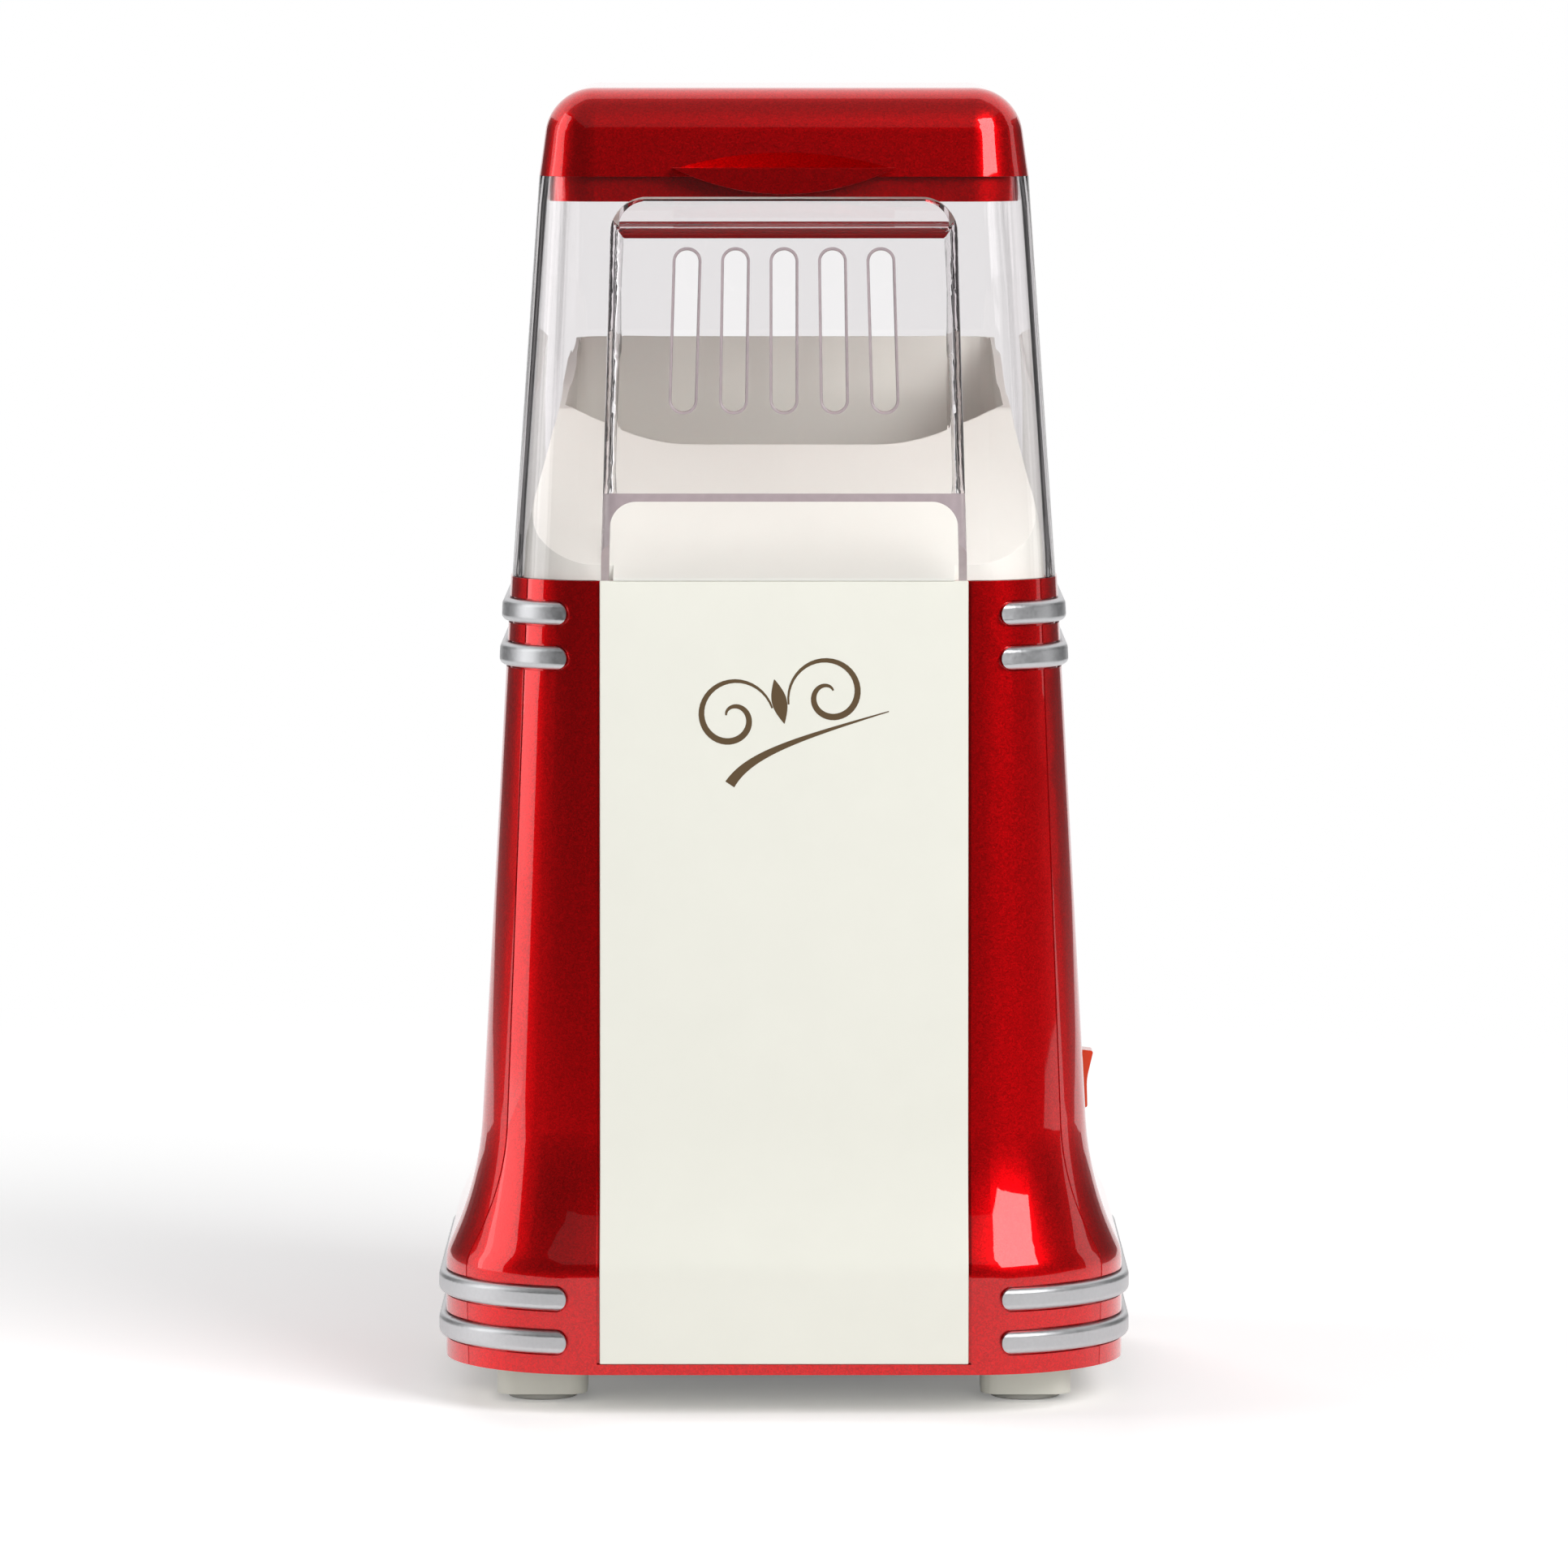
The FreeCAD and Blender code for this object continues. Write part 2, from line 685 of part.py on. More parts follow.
def visor_mouth():
    """Opening under the visor where the popcorn comes out."""
    low = visor_half(BODY_TOP - HOOD_WALL) - HOOD_WALL
    high = visor_half(MOUTH_TOP) - HOOD_WALL
    return prism([
        (-low, BODY_TOP - HOOD_WALL),
        (low, BODY_TOP - HOOD_WALL),
        (high, MOUTH_TOP, MOUTH_CORNER),
        (-high, MOUTH_TOP, MOUTH_CORNER),
    ], across, -FAR, -CORE_Y)


def hood():
    """Clear hood: a tapered sleeve with the vented visor in front."""
    low = HOOD_BOTTOM_REACH - HOOD_WALL
    high = HOOD_TOP_REACH - HOOD_WALL
    sleeve = around([
        (low, BODY_TOP),
        (HOOD_BOTTOM_REACH, BODY_TOP),
        (HOOD_TOP_REACH, HOOD_TOP),
        (high, HOOD_TOP),
    ])
    room = around([(0, BODY_TOP), (low, BODY_TOP), (high, HOOD_TOP), (0, HOOD_TOP)], True)
    inside = visor(HOOD_WALL)
    skin = visor(0).cut([inside, room])
    return join([sleeve.cut(inside), skin]).cut(visor_slots() + [visor_mouth()])


def grip_ball(grow):
    """Large ball whose edge scoops the grip out of the lid's front."""
    rise = GRIP_SCOOP_TOP - GRIP_Z
    circle = (GRIP_HALF ** 2 + rise ** 2) / (2 * rise)
    slope = math.radians(GRIP_SCOOP_SLOPE)
    front = -(CORE_Y + HOOD_TOP_REACH)
    centre = V(0, front - circle / math.tan(slope), GRIP_SCOOP_TOP - circle)
    ball = Part.makeSphere(circle / math.sin(slope) + grow, centre)
    return ball.common(box(-FAR, FAR, -FAR, 0, GRIP_Z - grow, LID_TOP))


def grip_tab():
    """Curved tab under the scoop that hangs in front of the hood's rim."""
    outside = CORE_Y + hood_reach(GRIP_Z - GRIP_TAB_DROP) + GRIP_TAB_GAP
    ends = [V(side * GRIP_HALF, 0, GRIP_Z) for side in (-1, 1)]
    arc = Part.Arc(ends[0], V(0, 0, GRIP_Z - GRIP_TAB_DROP), ends[1]).toShape()
    face = Part.Face(Part.Wire([arc, Part.makeLine(ends[1], ends[0])]))
    face.translate(V(0, -(outside + GRIP_TAB_THICK), 0))
    tab = face.extrude(V(0, 2 * GRIP_TAB_THICK, 0))
    room = HOOD_TOP_REACH + GRIP_TAB_GAP
    drop = HOOD_TOP - 2 * GRIP_TAB_DROP
    return tab.cut(around([
        (0, drop),
        (room + HOOD_TAPER * (HOOD_TOP - drop), drop),
        (room, HOOD_TOP),
        (0, HOOD_TOP),
    ], True))


def lid_round(reach, lean, height):
    """Rounding that takes up most of the reach where a leaning side meets the top."""
    return LID_ROUND_SHARE * reach / math.tan(math.pi / 4 - math.atan(lean / height) / 2)


def lid_cap():
    """Red lid: a domed cap with a plug skirt, hollow like a cup."""
    inner_plug = PLUG_REACH - LID_WALL
    shoulder = HOOD_TOP_REACH - LID_SIDE_LEAN
    inside = shoulder - LID_WALL
    outer = around([
        (0, PLUG_BOTTOM),
        (PLUG_REACH, PLUG_BOTTOM),
        (PLUG_REACH, HOOD_TOP),
        (HOOD_TOP_REACH, HOOD_TOP),
        (shoulder, LID_TOP, lid_round(shoulder, LID_SIDE_LEAN, LID_HEIGHT)),
        (0, LID_TOP),
    ], True)
    inner = around([
        (0, PLUG_BOTTOM - LID_WALL),
        (inner_plug, PLUG_BOTTOM - LID_WALL),
        (inner_plug, HOOD_TOP),
        (inside, LID_TOP - LID_WALL, lid_round(inside, inner_plug - inside, LID_HEIGHT - LID_WALL)),
        (0, LID_TOP - LID_WALL),
    ], True)
    backing = outer.common(grip_ball(LID_WALL))
    cap = join([outer.cut(inner), backing, grip_tab()])
    return cap.cut(grip_ball(0))


def funnel_block(inset, bottom):
    """Filled form inside the funnel's skirt and leaning sides."""
    def skirt(z):
        return hood_reach(z) - HOOD_WALL - FUNNEL_HOOD_GAP - inset

    shoulder = skirt(FUNNEL_SHOULDER_Z)
    side = shoulder - FUNNEL_SIDE_LEAN
    return around([
        (0, bottom),
        (skirt(bottom), bottom),
        (shoulder, FUNNEL_SHOULDER_Z),
        (side, SIDE_LIP_Z, FUNNEL_SIDE_ROUND),
        (side - FUNNEL_TOP_LEAN, FUNNEL_BACK_Z),
        (0, FUNNEL_BACK_Z),
    ], True)


def chute_slope():
    """Angle of the chute's floor above the level."""
    return math.atan2(LIP_Z - BODY_TOP - CHUTE_EDGE, LIP_Y - FRONT_Y)


def side_lip_y():
    """Depth at which the chute's floor meets the raised ends of its lip."""
    return LIP_Y + LIP_SIDE_RISE / math.tan(chute_slope())


def below_rim():
    """Space below the chute's floor and the rim that rises behind its lip."""
    near = side_lip_y()
    rise = (FUNNEL_BACK_Z - SIDE_LIP_Z) / (CORE_Y - near)
    return prism([
        (FRONT_Y, LEDGE_TOP),
        (FRONT_Y, BODY_TOP + CHUTE_EDGE),
        (near, SIDE_LIP_Z, LIP_ROUND),
        (FAR, SIDE_LIP_Z + rise * (FAR - near)),
        (FAR, LEDGE_TOP),
    ], sideways, -FAR, FAR)


def lip_dip():
    """Dip in the middle of the lip that the popcorn spills over."""
    end = LIP_HALF + 2 * LIP_SIDE_RUN
    high = LIP_Z + 2 * LIP_SIDE_RISE
    return prism([
        (-end, high),
        (-LIP_HALF, LIP_Z, LIP_SWEEP),
        (LIP_HALF, LIP_Z, LIP_SWEEP),
        (end, high),
    ], across, -FAR, side_lip_y() + 2 * FUNNEL_WALL)


def behind_chute(thick):
    """Space behind the chute's floor once it has its thickness."""
    slope = chute_slope()
    low = LEDGE_TOP - FUNNEL_WALL
    high = FUNNEL_BACK_Z

    def depth(z):
        return LIP_Y + thick / math.sin(slope) + (z - LIP_Z) / math.tan(slope)

    return prism(
        [(depth(low), low), (depth(high), high), (FAR, high), (FAR, low)], sideways, -FAR, FAR)


def funnel_cone(grow):
    """Cone above the sloping floor, which ends at the throat."""
    foot = THROAT_RADIUS + grow * math.sqrt(1 + FLOOR_FLARE ** 2) / FLOOR_FLARE
    brim = foot + FLOOR_FLARE * (FUNNEL_BACK_Z - NECK_Z)
    return turned([(0, NECK_Z), (foot, NECK_Z), (brim, FUNNEL_BACK_Z), (0, FUNNEL_BACK_Z)])


def chute_funnel():
    """Cream funnel above the chamber, with the chute in front of its lip."""
    apron = visor_half(BODY_TOP) - HOOD_WALL - CHUTE_GAP
    outer = join([
        funnel_block(0, LEDGE_TOP),
        box(-apron, apron, FRONT_Y, -CORE_Y, BODY_TOP, LIP_Z),
    ]).common(below_rim())
    room = funnel_block(FUNNEL_WALL, LEDGE_TOP - FUNNEL_WALL).common(behind_chute(FUNNEL_WALL))
    hollow = room.common(funnel_cone(0))
    underside = room.cut(funnel_cone(FUNNEL_WALL))
    return outer.cut([hollow, underside, lip_dip()])


def spun(shape, count, start=0):
    """Copies of a shape spread evenly round the upright axis."""
    copies = []
    for place in range(count):
        copy = shape.copy()
        copy.rotate(V(0, 0, 0), UP, start + 360 * place / count)
        copies.append(copy)
    return copies


def popping_chamber():
    """Deep metal cup whose slanted slots let the hot air in."""
    outside = CHAMBER_RADIUS + CHAMBER_WALL
    bottom = NECK_Z - CHAMBER_DEPTH
    cup = turned([
        (0, bottom),
        (outside, bottom, CHAMBER_ROUND + CHAMBER_WALL),
        (outside, CHAMBER_FLANGE_Z),
        (CHAMBER_FLANGE, CHAMBER_FLANGE_Z),
        (CHAMBER_FLANGE, NECK_Z),
        (CHAMBER_RADIUS, NECK_Z),
        (CHAMBER_RADIUS, bottom + CHAMBER_WALL, CHAMBER_ROUND),
        (0, bottom + CHAMBER_WALL),
    ])
    half = AIR_SLOT_WIDTH / 2
    rise = AIR_SLOT_HEIGHT / 2
    near = CHAMBER_RADIUS - CHAMBER_WALL
    slot = box(near, outside + CHAMBER_WALL, -half, half, -rise, rise)
    slot.rotate(V(0, 0, 0), V(1, 0, 0), AIR_SLOT_SLANT)
    slot.translate(V(0, 0, bottom + AIR_SLOT_RISE + rise))
    return cup.cut(spun(slot, AIR_SLOT_COUNT))


def chamber_seal():
    """Flat ring between the chamber's flange and the duct."""
    return ring(CHAMBER_FLANGE, CHAMBER_RADIUS + 2 * CHAMBER_WALL, DUCT_TOP, CHAMBER_FLANGE_Z)


def air_duct():
    """Metal sleeve that carries the hot air up round the chamber."""
    outside = DUCT_RADIUS + DUCT_WALL
    return turned([
        (DUCT_RADIUS, HOUSING_TOP),
        (DUCT_FLANGE, HOUSING_TOP),
        (DUCT_FLANGE, DUCT_FOOT),
        (outside, DUCT_FOOT),
        (outside, DUCT_TOP - DUCT_FLANGE_THICK),
        (DUCT_FLANGE, DUCT_TOP - DUCT_FLANGE_THICK),
        (DUCT_FLANGE, DUCT_TOP),
        (DUCT_RADIUS, DUCT_TOP),
        (DUCT_RADIUS, BOARD_BOTTOM),
        (DUCT_RADIUS - LEDGE_RING_WIDTH, BOARD_BOTTOM),
        (DUCT_RADIUS - LEDGE_RING_WIDTH, DUCT_FOOT),
        (DUCT_RADIUS, DUCT_FOOT),
    ])


def coil_tube(wire):
    """Heater wire wound in half turns that meet square in the winding's own plane."""
    rise = COIL_PITCH / 2
    bottom = BOARD_BOTTOM + (BOARD_HEIGHT - COIL_TURNS * COIL_PITCH) / 2
    halves_of_turns = []
    for turn in range(2 * COIL_TURNS):
        side = 1 if turn % 2 == 0 else -1
        start = V(side * COIL_RADIUS, 0, bottom + turn * rise)
        section = Part.Face(Part.Wire(Part.makeCircle(wire, start, V(0, 1, 0))))
        middle = V(0, 0, start.z + rise / 2)
        halves_of_turns.append(section.revolve(middle, V(side * rise / 2, 0, COIL_RADIUS), 180))
    tube = join(halves_of_turns)
    tube.rotate(V(0, 0, 0), UP, 45)
    return tube


def heater_boards():
    """Two notched boards that cross and carry the coil."""
    half = DUCT_RADIUS - BOARD_GAP
    top = BOARD_BOTTOM + BOARD_HEIGHT
    middle = BOARD_BOTTOM + BOARD_HEIGHT / 2
    thick = BOARD_THICK / 2
    notch = thick + COIL_GAP
    room = coil_tube(COIL_WIRE + COIL_GAP)
    boards = {}
    for name, place, low, high in (
            ("heater_board_wide", across, middle - COIL_GAP, top),
            ("heater_board_deep", sideways, BOARD_BOTTOM, middle)):
        board = prism([
            (-half, BOARD_BOTTOM),
            (half, BOARD_BOTTOM),
            (half, top, BOARD_CORNER),
            (-half, top, BOARD_CORNER),
        ], place, -thick, thick)
        boards[name] = board.cut([box(-notch, notch, -notch, notch, low, high), room])
    return boards


def thermostat():
    """Round heat switch on a bent bracket that stands on the duct's foot."""
    near = DUCT_RADIUS + DUCT_WALL + GUARD_GAP
    far = near + GUARD_THICK
    disc = Part.makeCylinder(
        GUARD_RADIUS, GUARD_DEPTH, V(far, 0, DUCT_FOOT + GUARD_HEIGHT - GUARD_RADIUS), V(1, 0, 0))
    shape = join([
        box(near, far, -GUARD_RADIUS, GUARD_RADIUS, DUCT_FOOT, DUCT_FOOT + GUARD_HEIGHT),
        box(near, DUCT_FLANGE, -GUARD_RADIUS, GUARD_RADIUS, DUCT_FOOT, DUCT_FOOT + GUARD_THICK),
        disc,
    ])
    shape.rotate(V(0, 0, 0), UP, GUARD_ANGLE)
    return shape


def thermal_fuse():
    """Fuse capsule in its saddle on the duct's foot."""
    middle = (DUCT_RADIUS + DUCT_WALL + DUCT_FLANGE) / 2
    z = DUCT_FOOT + 2 * FUSE_RADIUS
    capsule = Part.makeCylinder(
        FUSE_RADIUS, FUSE_LENGTH, V(middle, -FUSE_LENGTH / 2, z), V(0, 1, 0))
    lead = Part.makeCylinder(
        FUSE_LEAD, 2 * FUSE_LENGTH, V(middle, -FUSE_LENGTH, z), V(0, 1, 0))
    saddle = box(
        middle - FUSE_RADIUS, middle + FUSE_RADIUS, -FUSE_LENGTH / 4, FUSE_LENGTH / 4, DUCT_FOOT, z)
    shape = join([capsule, lead, saddle])
    shape.rotate(V(0, 0, 0), UP, FUSE_ANGLE)
    return shape


def screw(x, y, head_z, length, head_up=True):
    """Round-headed screw standing at a spot, its head resting at a height."""
    way = 1 if head_up else -1
    head = Part.makeCylinder(SCREW_HEAD, SCREW_HEAD_HEIGHT, V(x, y, head_z), V(0, 0, way))
    shank = Part.makeCylinder(SCREW_RADIUS, length, V(x, y, head_z), V(0, 0, -way))
    return head.fuse(shank).removeSplitter()


def post_spots():
    """Centres of the posts that carry the fan housing."""
    side = POST_RING / math.sqrt(2)
    return [(x, y) for x in (-side, side) for y in (-side, side)]


def motor_screw_spots():
    """Centres of the screws that hold the motor."""
    return [(-MOTOR_SCREW_RING, 0), (MOTOR_SCREW_RING, 0)]


def fan_housing():
    """Cup that the fan turns in, with its air holes and mounting ears."""
    floor = HOUSING_FLOOR + HOUSING_WALL
    hub = BUSH_RADIUS + 2 * SCREW_RADIUS
    cup = turned([
        (hub, HOUSING_FLOOR),
        (HOUSING_RADIUS, HOUSING_FLOOR),
        (HOUSING_RADIUS, HOUSING_TOP),
        (HOUSING_RADIUS - HOUSING_WALL, HOUSING_TOP),
        (HOUSING_RADIUS - HOUSING_WALL, floor),
        (hub, floor),
    ])
    inside = rod(HOUSING_RADIUS - HOUSING_WALL, floor, HOUSING_TOP)
    ears = [rod(EAR_RADIUS, HOUSING_FLOOR, EAR_TOP, x, y).cut(inside) for x, y in post_spots()]
    hole = SCREW_RADIUS + SCREW_GAP
    cuts = [rod(hole, 0, FAR, x, y) for x, y in post_spots() + motor_screw_spots()]
    intake = rod(INTAKE_RADIUS, HOUSING_FLOOR - HOUSING_WALL, floor + HOUSING_WALL, INTAKE_RING)
    return join([cup] + ears).cut(cuts + spun(intake, INTAKE_COUNT, 180 / INTAKE_COUNT))


def fan_impeller():
    """Fan wheel: swept blades hung under a disc, on a hub."""
    bottom = HOUSING_FLOOR + HOUSING_WALL + FAN_CLEARANCE
    disc = bottom + IMPELLER_HEIGHT
    top = disc + IMPELLER_DISC
    wheel = turned([
        (SHAFT_RADIUS + PRESS_GAP, bottom),
        (IMPELLER_HUB, bottom),
        (IMPELLER_HUB, disc),
        (IMPELLER_RADIUS, disc),
        (IMPELLER_RADIUS, top),
        (IMPELLER_HUB, top),
        (IMPELLER_HUB, top + IMPELLER_DISC),
        (SHAFT_RADIUS + PRESS_GAP, top + IMPELLER_DISC),
    ])
    sides = []
    for shift in (-BLADE_THICK / 2, BLADE_THICK / 2):
        spots = []
        for share, turn in ((0, 0), (0.5, 0.35), (1, 1)):
            radius = BLADE_ROOT + share * (IMPELLER_RADIUS - BLADE_THICK - BLADE_ROOT)
            angle = math.radians(BLADE_SWEEP) * turn + shift / radius
            spots.append(V(radius * math.cos(angle), radius * math.sin(angle), bottom))
        sides.append(spots)
    first, second = sides
    blade = Part.Face(Part.Wire([
        Part.Arc(*first).toShape(),
        Part.makeLine(first[2], second[2]),
        Part.Arc(*second).toShape(),
        Part.makeLine(second[0], first[0]),
    ])).extrude(V(0, 0, IMPELLER_HEIGHT))
    return join([wheel] + spun(blade, BLADE_COUNT))


def motor_can():
    """Drawn steel motor case, open below, with a neck for its upper bush."""
    inner = MOTOR_RADIUS - MOTOR_WALL
    seat = BUSH_RADIUS + PRESS_GAP
    neck = seat + MOTOR_WALL
    case = turned([
        (seat, HOUSING_FLOOR - BUSH_LENGTH),
        (neck, HOUSING_FLOOR - BUSH_LENGTH),
        (neck, HOUSING_FLOOR - MOTOR_WALL),
        (inner, HOUSING_FLOOR - MOTOR_WALL),
        (inner, MOTOR_BOTTOM),
        (MOTOR_RADIUS, MOTOR_BOTTOM),
        (MOTOR_RADIUS, HOUSING_FLOOR, MOTOR_WALL),
        (seat, HOUSING_FLOOR),
    ])
    hole = SCREW_RADIUS + SCREW_GAP
    return case.cut([
        rod(hole, HOUSING_FLOOR - BUSH_LENGTH, HOUSING_FLOOR, x, y) for x, y in motor_screw_spots()])


def motor_end_cap():
    """Moulded cap that closes the motor and holds its lower bush."""
    bottom = MOTOR_BOTTOM - END_CAP_HEIGHT
    spigot = MOTOR_RADIUS - MOTOR_WALL - PRESS_GAP
    inner = spigot - MOTOR_WALL
    floor = bottom + END_CAP_HEIGHT / 2
    seat = BUSH_RADIUS + PRESS_GAP
    return turned([
        (seat, bottom),
        (MOTOR_RADIUS, bottom, MOTOR_WALL),
        (MOTOR_RADIUS, MOTOR_BOTTOM),
        (spigot, MOTOR_BOTTOM),
        (spigot, MOTOR_BOTTOM + MOTOR_WALL),
        (inner, MOTOR_BOTTOM + MOTOR_WALL),
        (inner, floor),
        (seat + MOTOR_WALL, floor),
        (seat + MOTOR_WALL, bottom + BUSH_LENGTH),
        (seat, bottom + BUSH_LENGTH),
    ])


def motor_bush(bottom):
    """Bronze bush that the shaft runs in."""
    return ring(BUSH_RADIUS, SHAFT_RADIUS + SHAFT_PLAY, bottom, bottom + BUSH_LENGTH)


def motor_magnets():
    """Pair of curved magnets held against the motor case."""
    outer = MOTOR_RADIUS - MOTOR_WALL - PRESS_GAP
    inner = ARMATURE_RADIUS + MAGNET_GAP
    sleeve = ring(outer, inner, ARMATURE_BOTTOM, ARMATURE_BOTTOM + ARMATURE_LENGTH)
    gap = MAGNET_SPLIT / 2
    return sleeve.cut(box(-FAR, FAR, -gap, gap, 0, FAR))


def motor_armature():
    """Slotted rotor core pressed on the shaft, above its commutator."""
    bore = SHAFT_RADIUS + PRESS_GAP
    top = ARMATURE_BOTTOM + ARMATURE_LENGTH
    core = ring(ARMATURE_RADIUS, bore, ARMATURE_BOTTOM, top)
    half = POLE_SLOT / 2
    slot = box(ARMATURE_RADIUS / 2, FAR, -half, half, ARMATURE_BOTTOM, top)
    commutator = ring(COMMUTATOR_RADIUS, bore, ARMATURE_BOTTOM - COMMUTATOR_LENGTH, ARMATURE_BOTTOM)
    return join([core.cut(spun(slot, ARMATURE_POLES)), commutator])


def motor_shaft():
    """Steel shaft from the lower bush to the fan's hub."""
    bottom = MOTOR_BOTTOM - END_CAP_HEIGHT + SHAFT_END
    top = HOUSING_FLOOR + HOUSING_WALL + FAN_CLEARANCE + IMPELLER_HEIGHT + 3 * IMPELLER_DISC
    return rod(SHAFT_RADIUS, bottom, top)


def rectifier_board():
    """Round circuit board on the motor's end cap."""
    top = MOTOR_BOTTOM - END_CAP_HEIGHT
    return ring(RECTIFIER_RADIUS, 2 * SHAFT_RADIUS, top - RECTIFIER_THICK, top)


def rectifier_diodes():
    """Four diodes hung by their leads under the board."""
    top = MOTOR_BOTTOM - END_CAP_HEIGHT - RECTIFIER_THICK
    z = top - 2 * DIODE_RADIUS
    diodes = []
    for side in (-1, 1):
        for step in (-1, 1):
            x = side * (RECTIFIER_RADIUS - DIODE_LENGTH)
            y = step * DIODE_PITCH
            body = Part.makeCylinder(
                DIODE_RADIUS, DIODE_LENGTH, V(x - DIODE_LENGTH / 2, y, z), V(1, 0, 0))
            leads = [
                rod(DIODE_LEAD, z, top, x + end * (DIODE_LENGTH / 2 - DIODE_RADIUS), y) for end in (-1, 1)]
            diodes.append(join([body] + leads))
    return Part.makeCompound(diodes)


def motor_screws():
    """Two screws through the housing's floor into the motor."""
    floor = HOUSING_FLOOR + HOUSING_WALL
    return Part.makeCompound([screw(x, y, floor, BUSH_LENGTH) for x, y in motor_screw_spots()])


def housing_screws():
    """Four screws through the housing's ears into the base posts."""
    return Part.makeCompound([screw(x, y, EAR_TOP, POST_DRILL) for x, y in post_spots()])


def base_screws():
    """Screws through the base plate into the bosses of both shells."""
    seat = PLINTH_BOTTOM + SCREW_HEAD_HEIGHT
    length = BASE_TOP - seat + BOSS_HEIGHT - 2 * WALL
    spots = boss_spots(True) + boss_spots(False)
    return Part.makeCompound([screw(x, y, seat, length, False) for x, y in spots])


def foot_spots():
    """Name and centre of each foot."""
    return {
        end + "_" + side: (x, y)
        for end, y in (("front", -FOOT_Y), ("rear", FOOT_Y))
        for side, x in (("left", -FOOT_X), ("right", FOOT_X))
    }


def base_plate():
    """Cream base with its feet, air grille, posts and screw holes."""
    edge = PLINTH_INSIDE - BASE_GAP
    plate = around(
        [(0, PLINTH_BOTTOM), (edge, PLINTH_BOTTOM), (edge, BASE_TOP), (0, BASE_TOP)], True)
    half = FOOT_SIZE / 2
    added = []
    cuts = []
    for x, y in foot_spots().values():
        added.append(prism([
            (x - half, y - half, FOOT_ROUND),
            (x + half, y - half, FOOT_ROUND),
            (x + half, y + half, FOOT_ROUND),
            (x - half, y + half, FOOT_ROUND),
        ], level, FOOT_BOTTOM, PLINTH_BOTTOM))
        cuts.append(rod(PAD_RADIUS + PAD_GAP, 0, FOOT_BOTTOM + PAD_SEAT, x, y))
    for x, y in post_spots():
        height = HOUSING_FLOOR - BASE_TOP
        added.append(Part.makeCone(POST_RADIUS + POST_DRAFT, POST_RADIUS, height, V(x, y, BASE_TOP)))
        drill = HOUSING_FLOOR - POST_DRILL
        cuts.append(rod(SCREW_RADIUS + SCREW_GAP, drill, HOUSING_FLOOR, x, y))
    for x, y in boss_spots(True) + boss_spots(False):
        cuts.append(rod(SCREW_RADIUS + SCREW_GAP, 0, BASE_TOP, x, y))
        cuts.append(rod(SCREW_HEAD + SCREW_GAP, 0, PLINTH_BOTTOM + SCREW_HEAD_HEIGHT, x, y))
    slot = GRILLE_WIDTH / 2
    reach = GRILLE_LENGTH / 2
    for place in range(GRILLE_COUNT):
        x = (place - (GRILLE_COUNT - 1) / 2) * GRILLE_PITCH
        cuts.append(prism([
            (x - slot, -reach, 0.97 * slot),
            (x + slot, -reach, 0.97 * slot),
            (x + slot, reach, 0.97 * slot),
            (x - slot, reach, 0.97 * slot),
        ], level, 0, BASE_TOP))
    guide = reach + 2 * POST_DRAFT
    added.append(ring(guide + WALL, guide, BASE_TOP, BASE_TOP + BOSS_HEIGHT))
    return join([plate] + added).cut(cuts)


def foot_pads():
    """Rubber pads pressed into the feet."""
    top = FOOT_BOTTOM + PAD_SEAT
    pads = {}
    for name, (x, y) in foot_spots().items():
        pad = turned([(0, 0), (PAD_RADIUS, 0, PAD_ROUND), (PAD_RADIUS, top), (0, top)])
        pad.translate(V(x, y, 0))
        pads["foot_pad_" + name] = pad
    return pads


def switch_rocker():
    """Rocker key with its trunnions, tipped with the top end out."""
    z = ROCKER_HEIGHT / 2
    key = prism([
        (-ROCKER_DEPTH, z / 2, TRUNNION_RADIUS),
        (-ROCKER_DEPTH, -z / 2, TRUNNION_RADIUS),
        (0, -z),
        (ROCKER_PROUD, -z, ROCKER_EDGE),
        (ROCKER_PROUD - ROCKER_DISH, 0, ROCKER_HEIGHT),
        (ROCKER_PROUD, z, ROCKER_EDGE),
        (0, z),
    ], across, -ROCKER_WIDTH / 2, ROCKER_WIDTH / 2)
    length = SWITCH_WIDTH - 2 * ROCKER_GAP
    pin = Part.makeCylinder(TRUNNION_RADIUS, length, V(0, -length / 2, 0), V(0, 1, 0))
    rocker = join([key, pin])
    rocker.rotate(V(0, 0, 0), V(0, 1, 0), ROCKER_SWING / 2)
    return on_switch_wall(rocker)


def switch_housing():
    """Switch case with its bezel, the rocker's well and trunnion holes."""
    face = BEZEL_THICK - BEZEL_SINK
    bezel = upright_plate(BEZEL_WIDTH, BEZEL_HEIGHT, -BEZEL_SINK, face, BEZEL_CORNER)
    case = upright_plate(SWITCH_WIDTH, SWITCH_HEIGHT, -SWITCH_DEPTH, -BEZEL_SINK, BEZEL_EDGE)
    swing = 2 * (math.hypot(ROCKER_PROUD, ROCKER_HEIGHT / 2) + ROCKER_GAP)
    floor = -2 * ROCKER_DEPTH
    well = upright_plate(ROCKER_WIDTH + 2 * ROCKER_GAP, swing, floor, BEZEL_THICK, BEZEL_EDGE / 2)
    pivot = Part.makeCylinder(
        TRUNNION_RADIUS + TRUNNION_PLAY, SWITCH_WIDTH, V(0, -SWITCH_WIDTH / 2, 0), V(0, 1, 0))
    return on_switch_wall(join([bezel, case]).cut([well, pivot]))


